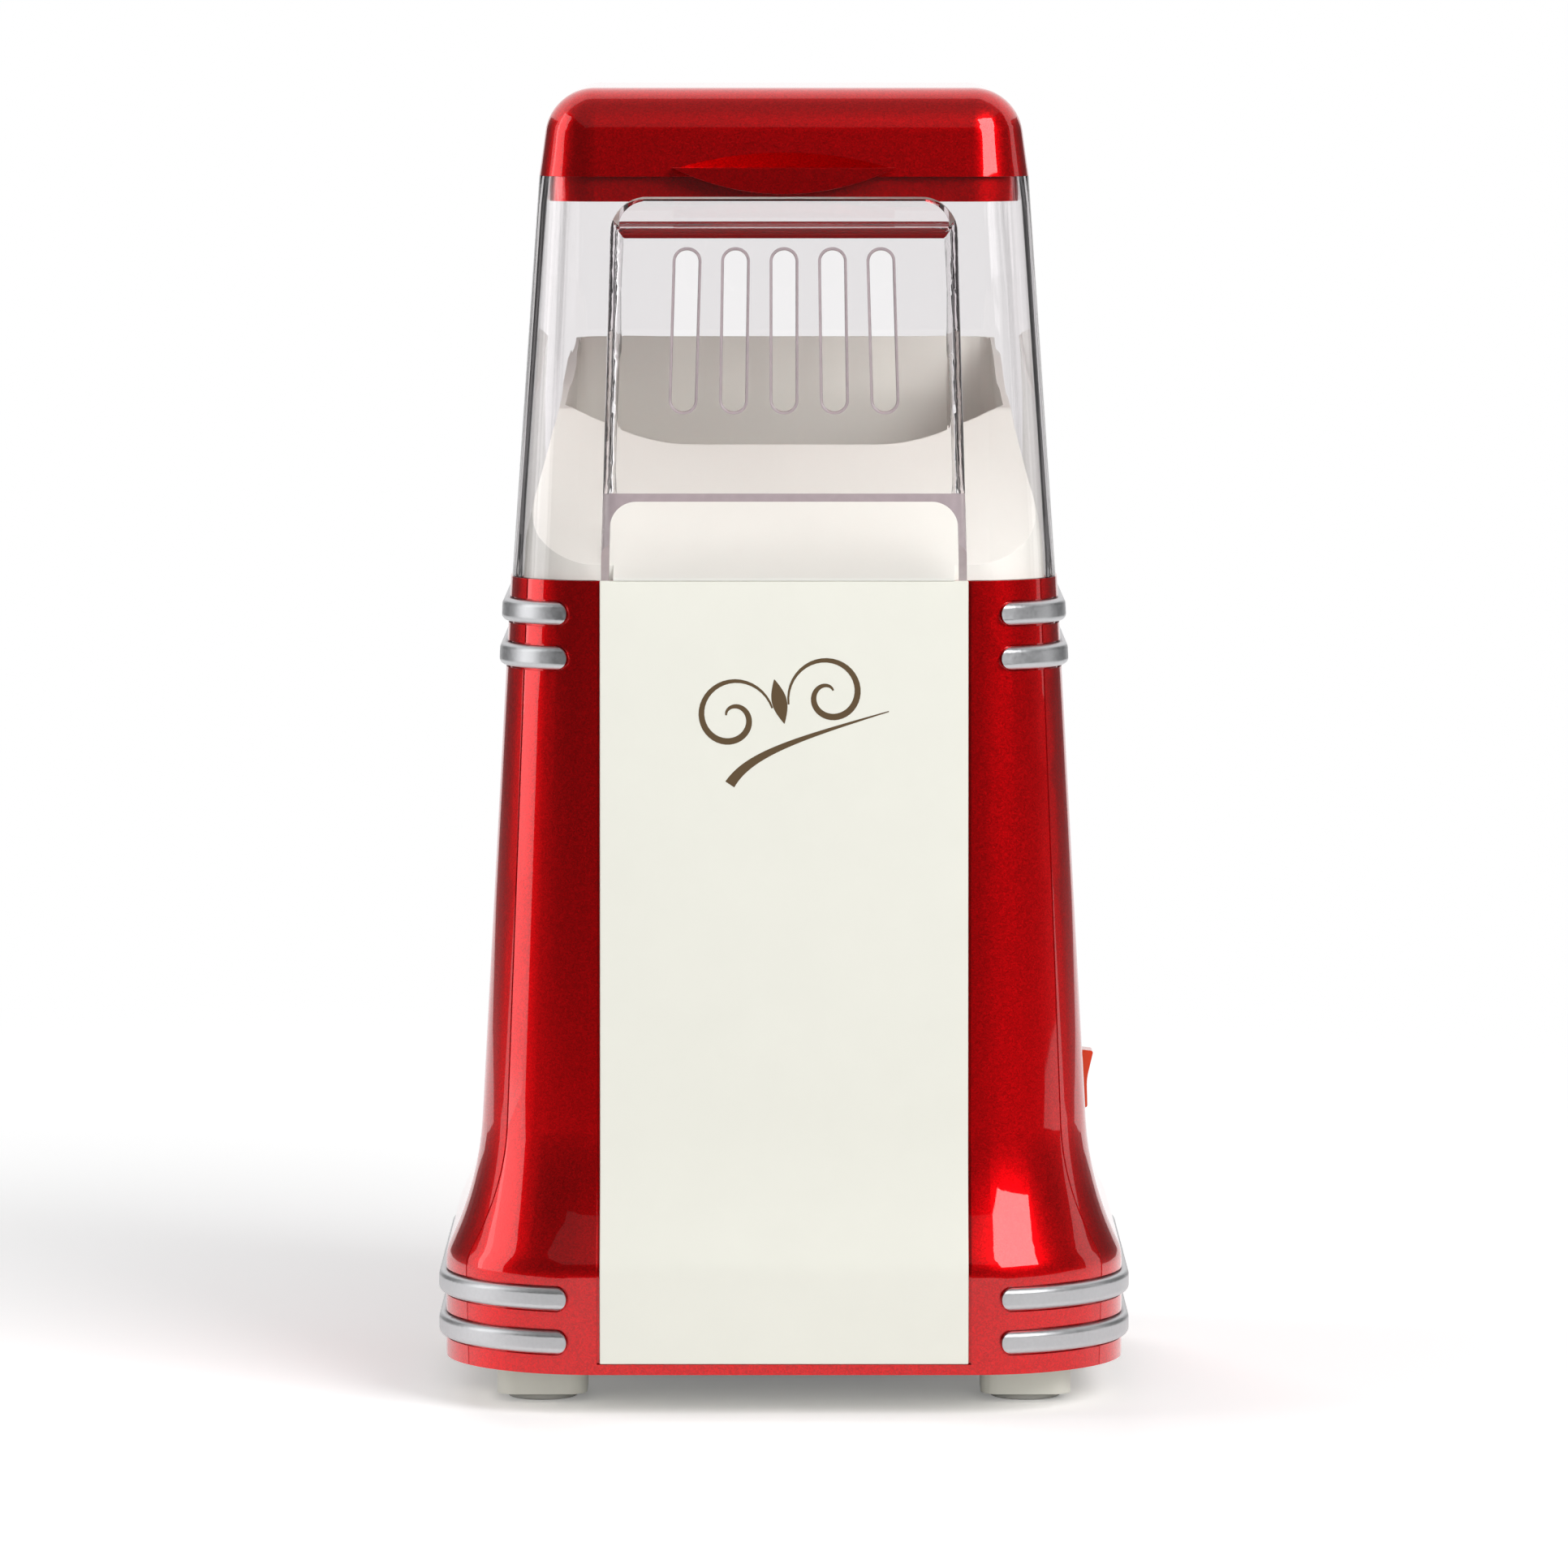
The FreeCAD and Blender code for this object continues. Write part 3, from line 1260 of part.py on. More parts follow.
def switch_terminals():
    """Blade terminals in a row on the back of the switch."""
    half = TERMINAL_WIDTH / 2
    thick = TERMINAL_THICK / 2
    blades = []
    for step in (-1, 0, 1):
        z = step * TERMINAL_PITCH
        blades.append(on_switch_wall(box(
            -SWITCH_DEPTH - TERMINAL_LENGTH, -SWITCH_DEPTH, -half, half, z - thick, z + thick)))
    return Part.makeCompound(blades)


def cord_gland():
    """Moulded bush in the back of the plinth, grooved over its wall."""
    wall = CORE_Y + PLINTH_REACH
    body = GLAND_RADIUS - PAD_GAP
    gland = turned([
        (GLAND_BORE, 0),
        (GLAND_FLANGE, 0, GLAND_FLANGE_THICK / 2),
        (GLAND_FLANGE, GLAND_FLANGE_THICK),
        (body, GLAND_FLANGE_THICK),
        (body, GLAND_FLANGE_THICK + WALL),
        (GLAND_FLANGE - GLAND_FLANGE_THICK, GLAND_FLANGE_THICK + WALL),
        (body, GLAND_FLANGE_THICK + WALL + GLAND_REACH),
        (GLAND_BORE, GLAND_FLANGE_THICK + WALL + GLAND_REACH),
    ])
    gland.rotate(V(0, 0, 0), V(1, 0, 0), 90)
    gland.translate(V(0, wall + GLAND_FLANGE_THICK, GLAND_Z))
    return gland


def build():
    """Every piece of the popcorn maker by name."""
    wall = wall_ring()
    pockets = bar_pockets()
    pieces = {
        "front_shell": front_shell(wall, pockets),
        "rear_shell": rear_shell(wall, pockets),
        "front_panel": front_panel(),
        "hood": hood(),
        "lid_cap": lid_cap(),
        "chute_funnel": chute_funnel(),
        "popping_chamber": popping_chamber(),
        "chamber_seal": chamber_seal(),
        "air_duct": air_duct(),
        "heater_coil": coil_tube(COIL_WIRE),
        "thermostat": thermostat(),
        "thermal_fuse": thermal_fuse(),
        "fan_housing": fan_housing(),
        "fan_impeller": fan_impeller(),
        "motor_can": motor_can(),
        "motor_end_cap": motor_end_cap(),
        "motor_bush_upper": motor_bush(HOUSING_FLOOR - BUSH_LENGTH),
        "motor_bush_lower": motor_bush(MOTOR_BOTTOM - END_CAP_HEIGHT),
        "motor_magnets": motor_magnets(),
        "motor_armature": motor_armature(),
        "motor_shaft": motor_shaft(),
        "rectifier_board": rectifier_board(),
        "rectifier_diodes": rectifier_diodes(),
        "motor_screws": motor_screws(),
        "housing_screws": housing_screws(),
        "base_screws": base_screws(),
        "base_plate": base_plate(),
        "switch_rocker": switch_rocker(),
        "switch_housing": switch_housing(),
        "switch_terminals": switch_terminals(),
        "cord_gland": cord_gland(),
    }
    for group in (trim_bars(), heater_boards(), foot_pads()):
        pieces.update(group)
    return pieces


def main():
    """Write one STEP file for each piece."""
    os.makedirs("parts", exist_ok=True)
    for name, shape in build().items():
        shape.exportStep(os.path.join("parts", name + ".step"))
        print(name, len(shape.Solids), "solid", round(shape.Volume), "mm3", shape.isValid())


if __name__ == "__main__":
    main()
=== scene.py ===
"""Looks of the hot-air popcorn maker, laid out as an add-on and run as a script."""
import json
import math

import bmesh
import bpy
from bpy.props import FloatProperty, FloatVectorProperty, IntProperty, PointerProperty
from mathutils import Matrix, Vector
from mathutils.bvhtree import BVHTree


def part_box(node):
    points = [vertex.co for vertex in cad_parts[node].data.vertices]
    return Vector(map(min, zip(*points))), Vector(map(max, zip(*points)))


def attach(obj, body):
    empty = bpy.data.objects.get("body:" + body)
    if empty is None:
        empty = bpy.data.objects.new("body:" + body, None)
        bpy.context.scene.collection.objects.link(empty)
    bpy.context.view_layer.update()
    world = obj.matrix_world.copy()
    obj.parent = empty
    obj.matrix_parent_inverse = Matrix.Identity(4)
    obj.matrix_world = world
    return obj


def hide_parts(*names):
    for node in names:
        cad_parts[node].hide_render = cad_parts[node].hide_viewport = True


bl_info = {
    "name": "Popcorn Maker Dresser",
    "version": (1, 0, 0),
    "blender": (4, 5, 0),
    "location": "View3D > Sidebar > Popcorn Maker",
    "description": "Dresses the packed popcorn maker with its finishes and its studio",
    "category": "Object",
}

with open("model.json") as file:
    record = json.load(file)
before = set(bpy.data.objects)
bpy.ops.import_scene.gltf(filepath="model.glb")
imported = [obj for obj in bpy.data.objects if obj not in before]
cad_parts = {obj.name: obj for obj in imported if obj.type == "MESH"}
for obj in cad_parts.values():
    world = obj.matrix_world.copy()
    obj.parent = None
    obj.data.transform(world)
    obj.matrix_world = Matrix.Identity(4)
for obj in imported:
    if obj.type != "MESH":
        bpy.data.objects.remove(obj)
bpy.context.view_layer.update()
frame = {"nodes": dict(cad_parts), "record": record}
MERGE_DISTANCE = 2e-6
FLAT_ANGLE = math.radians(0.4)
SHARP_ANGLE = math.radians(32)
# Step under a face from which the depth of plastic behind it is measured
SKIN = 1e-6
# Upward or backward parts of the normals by which the hood's edges are told apart
MOUTH_EDGE_NORMAL = -0.95
LIP_NORMAL = -0.5
SLOT_WALL_NORMAL = 0.3
# A light path depth over this has had a bounce of its kind
ANY_BOUNCE = 0.5
WHITE = (1, 1, 1, 1)
FINE_RELIEF = 0.0001
RIPPLE_RELIEF = 0.0002
CLEAR_IOR = 1.49
CLEAR_DENSITY = 26.0
# Corners of the ornament's underline, and its scrolls, as shares of the ornament's width and height
UNDERLINE = ((-0.32, -0.50), (-0.20, -0.24), (0.05, -0.20), (0.50, -0.14))
SCROLL_CENTRE = (0.24, 0.16)
SCROLL_RADIUS = 0.20
SCROLL_TURNS = 1.4
SCROLL_CURL = 0.86
FLOOR_GREY = 0.8
SENSOR_WIDTH = 36.0
CLIP_END = 50.0
# Where the flags end in front of the object's middle and behind it
FLOOR_FLAG_END = -0.6
SILK_END = 0.6
SIDE_FLAG_END = 0.3
# Soft boxes: name, place, width, height, power, whether gloss and glass show it
LAMPS = (
    ("key_right", (1.35, -1.65, 1.5), 1.3, 1.4, 36.0, True),
    ("fill_left", (-2.0, -0.1, 0.8), 1.0, 2.0, 12.0, True),
    ("fill_back", (-0.6, 2.4, 1.5), 1.6, 1.2, 24.0, False),
    ("fill_front", (0.3, -2.8, 0.6), 1.5, 1.0, 20.0, False),
)
LAMP_AIM = (0, 0, 0.22)
RED_NODES = ("front_shell", "rear_shell", "lid_cap")
CREAM_NODES = ("front_panel", "base_plate")
BLACK_NODES = ("switch_housing", "cord_gland")
STEEL_NODES = (
    "air_duct", "thermostat", "thermal_fuse", "motor_can", "motor_armature", "motor_shaft",
    "motor_screws", "housing_screws", "base_screws", "switch_terminals")
# Metals inside the body: name, colour, roughness, scale of the grain, nodes
INNER_METALS = (
    ("zinc_steel", (0.50, 0.51, 0.53, 1), 0.36, 500.0, STEEL_NODES),
    ("heater_wire", (0.36, 0.30, 0.27, 1), 0.5, 1500.0, ("heater_coil",)),
    ("bronze", (0.52, 0.31, 0.13, 1), 0.4, 900.0, ("motor_bush_upper", "motor_bush_lower")),
)
# Mouldings and boards inside the body: name, colour, roughness, nodes
INNER_MOULDINGS = (
    ("mica_board", (0.62, 0.54, 0.42, 1), 0.55, ("heater_board_wide", "heater_board_deep")),
    ("circuit_board", (0.05, 0.16, 0.06, 1), 0.5, ("rectifier_board",)),
    ("silicone", (0.62, 0.20, 0.13, 1), 0.6, ("chamber_seal",)),
    ("ferrite", (0.035, 0.033, 0.036, 1), 0.6, ("motor_magnets",)),
    ("dark_plastic", (0.020, 0.020, 0.022, 1), 0.45,
     ("fan_housing", "fan_impeller", "motor_end_cap", "rectifier_diodes")),
)


class FinishSettings(bpy.types.PropertyGroup):
    """Colours and finish sizes of the popcorn maker."""

    red: FloatVectorProperty(
        name="Red lacquer", description="Colour of the metallic lacquer", subtype="COLOR",
        size=4, min=0, max=1, default=(0.86, 0.001, 0.004, 1))
    red_shade: FloatVectorProperty(
        name="Red lacquer shade", description="Deeper colour between the flakes", subtype="COLOR",
        size=4, min=0, max=1, default=(0.57, 0.0005, 0.002, 1))
    cream: FloatVectorProperty(
        name="Cream", description="Colour of the cream mouldings", subtype="COLOR",
        size=4, min=0, max=1, default=(0.84, 0.835, 0.755, 1))
    # Partly the funnel's own, more neutral cream and partly painted shade: darker than the panel's cream
    # for the light that the hood would hold back, as the hood casts no shadow
    funnel_cream_with_painted_shade: FloatVectorProperty(
        name="Funnel cream", description="Colour of the funnel and its chute", subtype="COLOR",
        size=4, min=0, max=1, default=(0.77, 0.76, 0.71, 1))
    silver: FloatVectorProperty(
        name="Silver", description="Colour of the coated trim bars", subtype="COLOR",
        size=4, min=0, max=1, default=(0.64, 0.645, 0.66, 1))
    print_brown: FloatVectorProperty(
        name="Print", description="Colour of the printed ornament", subtype="COLOR",
        size=4, min=0, max=1, default=(0.115, 0.070, 0.030, 1))
    rocker: FloatVectorProperty(
        name="Rocker", description="Colour of the rocker key", subtype="COLOR",
        size=4, min=0, max=1, default=(0.78, 0.055, 0.012, 1))
    clear_depth: FloatVectorProperty(
        name="Clear depth", description="Colour that the clear plastic takes along its edges",
        subtype="COLOR", size=4, min=0, max=1, default=(0.42, 0.22, 0.30, 1))
    # Painted shade and reflection: mauve painted on the hood's slot walls and mouth band
    edge_shade_and_reflection_colour: FloatVectorProperty(
        name="Edge tint", description="Colour of the clear plastic's cut edges", subtype="COLOR",
        size=4, min=0, max=1, default=(0.50, 0.42, 0.44, 1))
    clear_wall: FloatProperty(
        name="Clear wall", description="Depth of plastic behind a face that makes it a slot's wall",
        subtype="DISTANCE", unit="LENGTH", default=0.004, min=0)
    clear_ease: FloatProperty(
        name="Clear ease", description="Width of the rounding on the rims of the hood's slots",
        subtype="DISTANCE", unit="LENGTH", default=0.0009, min=0)
    # Height of the band of painted reflection over the hood's mouth
    mouth_reflection_band: FloatProperty(
        name="Mouth band", description="Height of the tinted band over the hood's mouth",
        subtype="DISTANCE", unit="LENGTH", default=0.0023, min=0)
    visor_lean: FloatProperty(
        name="Visor lean", description="Depth over which the leaning visor holds its slots",
        subtype="DISTANCE", unit="LENGTH", default=0.015, min=0)
    # Depth of the band of painted reflection beside the hood's mouth
    mouth_reflection_depth: FloatProperty(
        name="Mouth depth", description="Depth of the tinted band beside the hood's mouth",
        subtype="DISTANCE", unit="LENGTH", default=0.006, min=0)
    flake_scale: FloatProperty(
        name="Flake density", description="Metal flakes per metre", default=2600, min=1)
    eased_edge: FloatProperty(
        name="Eased edge", description="Width of the rounding on moulded edges",
        subtype="DISTANCE", unit="LENGTH", default=0.0005, min=0)
    edge_steps: IntProperty(
        name="Edge steps", description="Faces across an eased edge", default=2, min=1)
    print_width: FloatProperty(
        name="Print width", description="Width of the ornament", subtype="DISTANCE",
        unit="LENGTH", default=0.064)
    print_height: FloatProperty(
        name="Print height", description="Height of the ornament before it is slanted",
        subtype="DISTANCE", unit="LENGTH", default=0.030)
    print_stroke: FloatProperty(
        name="Print stroke", description="Width of the ornament's lines", subtype="DISTANCE",
        unit="LENGTH", default=0.0022)
    print_thick: FloatProperty(
        name="Print thickness", description="Thickness of the ink", subtype="DISTANCE",
        unit="LENGTH", default=0.00006)
    print_place: FloatProperty(
        name="Print place", description="Share of the panel's height at the ornament's middle",
        subtype="FACTOR", default=0.82, min=0, max=1)
    print_slant: FloatProperty(
        name="Print slant", description="Slope of the ornament", subtype="ANGLE",
        unit="ROTATION", default=math.radians(13))
    print_steps: IntProperty(
        name="Print steps", description="Steps along a line of the ornament", default=28, min=4)


class StageSettings(bpy.types.PropertyGroup):
    """Camera and studio light."""

    eye_height: FloatProperty(
        name="Eye height", description="Height of the camera above the floor",
        subtype="DISTANCE", unit="LENGTH", default=0.4427)
    eye_distance: FloatProperty(
        name="Eye distance", description="Camera's distance in front of the middle",
        subtype="DISTANCE", unit="LENGTH", default=2.9)
    eye_tilt: FloatProperty(
        name="Eye tilt", description="Downward tilt of the camera", subtype="ANGLE",
        unit="ROTATION", default=math.radians(5.07))
    lens: FloatProperty(
        name="Lens", description="Focal length in millimetres on a 36 mm frame", default=211.5)
    floor_size: FloatProperty(
        name="Floor size", description="Width of the floor", subtype="DISTANCE",
        unit="LENGTH", default=14.0)
    floor_lift: FloatProperty(
        name="Floor lift", description="Share of plain white in the floor near the object",
        subtype="FACTOR", default=0.15, min=0, max=1)
    floor_gain: FloatProperty(
        name="Floor gain", description="Brightness of the floor where it is seen", default=1.4, min=0)
    shadow_reach: FloatProperty(
        name="Shadow reach", description="Distance over which the floor keeps its full shadow",
        subtype="DISTANCE", unit="LENGTH", default=0.35)
    flag_width: FloatProperty(
        name="Flag width", description="Width of the dark flag behind the camera",
        subtype="DISTANCE", unit="LENGTH", default=12.0)
    flag_height: FloatProperty(
        name="Flag height", description="Height of the dark flag behind the camera",
        subtype="DISTANCE", unit="LENGTH", default=3.2)
    side_flag: FloatProperty(
        name="Side flags", description="Distance of the side flags from the middle",
        subtype="DISTANCE", unit="LENGTH", default=1.0)
    floor_flag: FloatProperty(
        name="Floor flag", description="Height of the flag that lies in front of the object",
        subtype="DISTANCE", unit="LENGTH", default=0.002)
    cloth_glow: FloatProperty(
        name="Cloth glow", description="Brightness of the dark flags", default=0.05, min=0)
    silk_glow: FloatProperty(
        name="Silk glow", description="Brightness of the silk over the camera", default=0.25, min=0)
    ambient: FloatProperty(
        name="Ambient", description="Strength of the light from all round", default=0.25, min=0)


def finish():
    """Finish settings of the scene."""
    return bpy.context.scene.popcorn_finish


def stage():
    """Stage settings of the scene."""
    return bpy.context.scene.popcorn_stage


def new_material(name):
    """Material with its tree, its shader and its Object coordinates."""
    material = bpy.data.materials.new(name)
    material.use_nodes = True
    tree = material.node_tree
    tree.nodes.clear()
    output = tree.nodes.new("ShaderNodeOutputMaterial")
    shader = tree.nodes.new("ShaderNodeBsdfPrincipled")
    place = tree.nodes.new("ShaderNodeTexCoord")
    tree.links.new(shader.outputs["BSDF"], output.inputs["Surface"])
    return material, tree, shader, place.outputs["Object"]


def noise(tree, place, scale, detail=2.0):
    """Noise texture on the object's own coordinates."""
    node = tree.nodes.new("ShaderNodeTexNoise")
    node.inputs["Scale"].default_value = scale
    node.inputs["Detail"].default_value = detail
    tree.links.new(place, node.inputs["Vector"])
    return node.outputs["Fac"]


def blend_colours(tree, factor, low, high):
    """Colour ramp between two colours."""
    ramp = tree.nodes.new("ShaderNodeValToRGB")
    ramp.color_ramp.elements[0].color = low
    ramp.color_ramp.elements[1].color = high
    tree.links.new(factor, ramp.inputs["Fac"])
    return ramp.outputs["Color"]


def spread(tree, factor, low, high):
    """Number that follows a texture between two limits."""
    node = tree.nodes.new("ShaderNodeMapRange")
    node.inputs["To Min"].default_value = low
    node.inputs["To Max"].default_value = high
    tree.links.new(factor, node.inputs["Value"])
    return node.outputs["Result"]


def add_bump(tree, shader, height, strength, distance):
    """Bump on a shader from a height."""
    bump = tree.nodes.new("ShaderNodeBump")
    bump.inputs["Strength"].default_value = strength
    bump.inputs["Distance"].default_value = distance
    tree.links.new(height, bump.inputs["Height"])
    tree.links.new(bump.outputs["Normal"], shader.inputs["Normal"])


def vary_colour(tree, shader, factor, colour, share):
    """Base colour that varies from a share of the colour's strength up to the colour."""
    dark = (colour[0] * share, colour[1] * share, colour[2] * share, 1)
    tree.links.new(blend_colours(tree, factor, dark, colour), shader.inputs["Base Color"])


def vary_roughness(tree, shader, factor, low, high):
    """Roughness that follows a texture between two limits."""
    tree.links.new(spread(tree, factor, low, high), shader.inputs["Roughness"])


def calculate(tree, operation, first, second):
    """Result of an operation on a value and on another value or a number."""
    node = tree.nodes.new("ShaderNodeMath")
    node.operation = operation
    tree.links.new(first, node.inputs[0])
    if isinstance(second, float):
        node.inputs[1].default_value = second
    else:
        tree.links.new(second, node.inputs[1])
    return node.outputs["Value"]


def mix_shaders(tree, share, first, second):
    """Shader that turns from the first to the second as the share grows."""
    node = tree.nodes.new("ShaderNodeMixShader")
    tree.links.new(share, node.inputs["Fac"])
    tree.links.new(first, node.inputs[1])
    tree.links.new(second, node.inputs[2])
    return node.outputs["Shader"]


def red_lacquer():
    """Metallic red lacquer: fine flakes under a clear gloss coat."""
    material, tree, shader, place = new_material("red_lacquer")
    settings = finish()
    flakes = tree.nodes.new("ShaderNodeTexVoronoi")
    flakes.inputs["Scale"].default_value = settings.flake_scale
    tree.links.new(place, flakes.inputs["Vector"])
    grey = tree.nodes.new("ShaderNodeSeparateColor")
    tree.links.new(flakes.outputs["Color"], grey.inputs["Color"])
    colour = blend_colours(tree, grey.outputs["Red"], settings.red_shade, settings.red)
    tree.links.new(colour, shader.inputs["Base Color"])
    vary_roughness(tree, shader, grey.outputs["Green"], 0.30, 0.40)
    add_bump(tree, shader, grey.outputs["Blue"], 0.05, FINE_RELIEF)
    shader.inputs["Metallic"].default_value = 0.92
    shader.inputs["Specular IOR Level"].default_value = 0.0
    shader.inputs["Coat Weight"].default_value = 1.0
    shader.inputs["Coat Roughness"].default_value = 0.03
    shader.inputs["Coat IOR"].default_value = 1.5
    return material


def moulded_plastic(name, colour, roughness, gloss=0.0):
    """Moulded plastic with a faint mottle and a fine grain."""
    material, tree, shader, place = new_material(name)
    mottle = noise(tree, place, 60.0)
    grain = noise(tree, place, 2400.0, 3.0)
    vary_colour(tree, shader, mottle, colour, 0.97)
    vary_roughness(tree, shader, mottle, roughness * 0.85, roughness * 1.15)
    add_bump(tree, shader, grain, 0.04, FINE_RELIEF)
    shader.inputs["Coat Weight"].default_value = gloss
    shader.inputs["Coat Roughness"].default_value = 0.08
    return material


def plain_metal(name, colour, roughness, grain_scale):
    """Metal with a fine uneven grain."""
    material, tree, shader, place = new_material(name)
    grain = noise(tree, place, grain_scale, 4.0)
    vary_colour(tree, shader, grain, colour, 0.82)
    vary_roughness(tree, shader, grain, roughness * 0.75, roughness * 1.25)
    add_bump(tree, shader, grain, 0.06, FINE_RELIEF)
    shader.inputs["Metallic"].default_value = 1.0
    return material


def clear_plastic():
    """Clear moulded plastic with a faint ripple."""
    material, tree, shader, place = new_material("clear_plastic")
    ripple = noise(tree, place, 35.0, 1.0)
    vary_roughness(tree, shader, ripple, 0.0, 0.02)
    add_bump(tree, shader, ripple, 0.008, RIPPLE_RELIEF)
    shader.inputs["Base Color"].default_value = (0.985, 0.985, 0.985, 1)
    shader.inputs["Transmission Weight"].default_value = 1.0
    shader.inputs["IOR"].default_value = CLEAR_IOR
    depth = tree.nodes.new("ShaderNodeVolumeAbsorption")
    depth.inputs["Color"].default_value = finish().clear_depth
    depth.inputs["Density"].default_value = CLEAR_DENSITY
    tree.links.new(depth.outputs["Volume"], tree.nodes["Material Output"].inputs["Volume"])
    return material


def edge_shade_and_reflection():
    """Cut edges of the clear plastic, painted mauve: painted shade and reflection in place of the
    refraction and internal reflection seen there.
    """
    material, tree, shader, place = new_material("edge_shade_and_reflection")
    # Mauve of painted shade and reflection, with a faint random mottle
    vary_colour(tree, shader, noise(tree, place, 300.0), finish().edge_shade_and_reflection_colour, 0.8)
    shader.inputs["Roughness"].default_value = 0.25
    shader.inputs["Transmission Weight"].default_value = 0.25
    shader.inputs["IOR"].default_value = CLEAR_IOR
    return material


def sharp_edges(form):
    """Edges between faces that meet at a sharp angle."""
    return [edge for edge in form.edges if edge.calc_face_angle(0.0) > SHARP_ANGLE]


def ease(form, edges, width, clamp):
    """Round a form's edges and give the new faces."""
    return bmesh.ops.bevel(
        form, geom=edges, offset=width, offset_type="OFFSET", affect="EDGES",
        segments=finish().edge_steps, profile=0.5, material=-1, clamp_overlap=clamp)["faces"]


def split(form, place, normal):
    """Cut a form's faces along a plane."""
    bmesh.ops.bisect_plane(
        form, geom=form.verts[:] + form.edges[:] + form.faces[:], plane_co=place, plane_no=normal)


def mouth_top(form, front):
    """Height of the hood's mouth, read from the downward edge over it."""
    edges = [
        face for face in form.faces
        if face.normal.z < MOUTH_EDGE_NORMAL and face.calc_center_median().y < front]
    return max(edges, key=lambda face: face.calc_area()).calc_center_median().z


def paint_slot_shade_and_reflection(form):
    """Round the rims of the visor's slots and paint the slot walls and rims with painted shade and
    reflection.
    """
    settings = finish()
    front = min(vert.co.y for vert in form.verts) + settings.visor_lean
    low = mouth_top(form, front) + 2 * settings.mouth_reflection_band
    tree = BVHTree.FromBMesh(form)
    for face in form.faces:
        place = face.calc_center_median()
        depth = tree.ray_cast(place - face.normal * SKIN, -face.normal)[3]
        deep = depth is not None and depth > settings.clear_wall
        # Slot walls take the painted shade and reflection
        if deep and abs(face.normal.y) < SLOT_WALL_NORMAL and place.y < front and place.z > low:
            face.material_index = 1
    rims = [
        edge for edge in sharp_edges(form) if any(side.material_index for side in edge.link_faces)]
    # The rounded rims take the painted shade and reflection too
    for face in ease(form, rims, settings.clear_ease, clamp=False):
        face.material_index = 1


def paint_mouth_reflection(form):
    """Paint the band round the hood's mouth with painted reflection."""
    settings = finish()
    front = min(vert.co.y for vert in form.verts) + settings.mouth_reflection_depth
    top = mouth_top(form, front) + settings.mouth_reflection_band
    split(form, (0, 0, top), (0, 0, 1))
    split(form, (0, front, 0), (0, 1, 0))
    for face in form.faces:
        place = face.calc_center_median()
        lip = face.normal.z < LIP_NORMAL and place.y < front + settings.visor_lean
        # The band and the lip under it take painted reflection
        if place.z < top and (place.y < front or lip):
            face.material_index = 1


def link_form(name, form, *materials):
    """Object in the scene made of a finished form."""
    mesh = bpy.data.meshes.new(name)
    form.to_mesh(mesh)
    form.free()
    for material in materials:
        mesh.materials.append(material)
    item = bpy.data.objects.new(name, mesh)
    bpy.context.scene.collection.objects.link(item)
    return item


def dress(node, material, shade_and_reflection_material=None):
    """Replace a node by a merged copy with smooth curves and eased edges."""
    source = frame["nodes"][node]
    form = bmesh.new()
    form.from_mesh(source.data)
    bmesh.ops.remove_doubles(form, verts=form.verts, dist=MERGE_DISTANCE)
    bmesh.ops.dissolve_limit(
        form, angle_limit=FLAT_ANGLE, verts=form.verts[:], edges=form.edges[:])
    for face in form.faces:
        face.material_index = 0
    # On the hood, the slot walls and the mouth band take the painted shade and reflection
    if shade_and_reflection_material:
        paint_slot_shade_and_reflection(form)
    ease(form, sharp_edges(form), finish().eased_edge, clamp=True)
    if shade_and_reflection_material:
        paint_mouth_reflection(form)
    for face in form.faces:
        face.smooth = True
    for seam in form.edges:
        seam.smooth = seam.calc_face_angle(0.0) < SHARP_ANGLE
    materials = (material, shade_and_reflection_material) if shade_and_reflection_material else (material,)
    piece = link_form(node + "_look", form, *materials)
    attributes = piece.data.attributes
    if "custom_normal" in attributes:
        attributes.remove(attributes["custom_normal"])
    even = piece.modifiers.new("even_shading", "WEIGHTED_NORMAL")
    even.mode = "FACE_AREA_WITH_ANGLE"
    even.keep_sharp = True
    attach(piece, body_of(node))
    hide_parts(node)
    return piece


def body_of(node):
    """Name of the body that carries a node."""
    bodies = frame["record"]["behaviour"]["bodies"]
    return next(body for body, members in bodies.items() if node in members)


def paint(nodes, material):
    """Give nodes a finish and keep their shape."""
    for node in nodes:
        slots = frame["nodes"][node].data.materials
        slots.clear()
        slots.append(material)


def curve_points(corners, steps):
    """Points along a curve steered by four corners."""
    first, second, third, fourth = (Vector(corner) for corner in corners)
    points = []
    for step in range(steps + 1):
        t = step / steps
        points.append(
            first * (1 - t) ** 3 + second * 3 * t * (1 - t) ** 2
            + third * 3 * t * t * (1 - t) + fourth * t ** 3)
    return points


def scroll_points(side, centre, radius, turns, steps):
    """Points of a scroll that curls in towards its centre."""
    points = []
    for step in range(steps + 1):
        share = step / steps
        angle = math.pi * (1.0 - 2 * turns * share)
        reach = radius * (1 - SCROLL_CURL * share)
        points.append(Vector((
            side * (centre[0] + reach * math.cos(angle)), centre[1] + reach * math.sin(angle))))
    return points


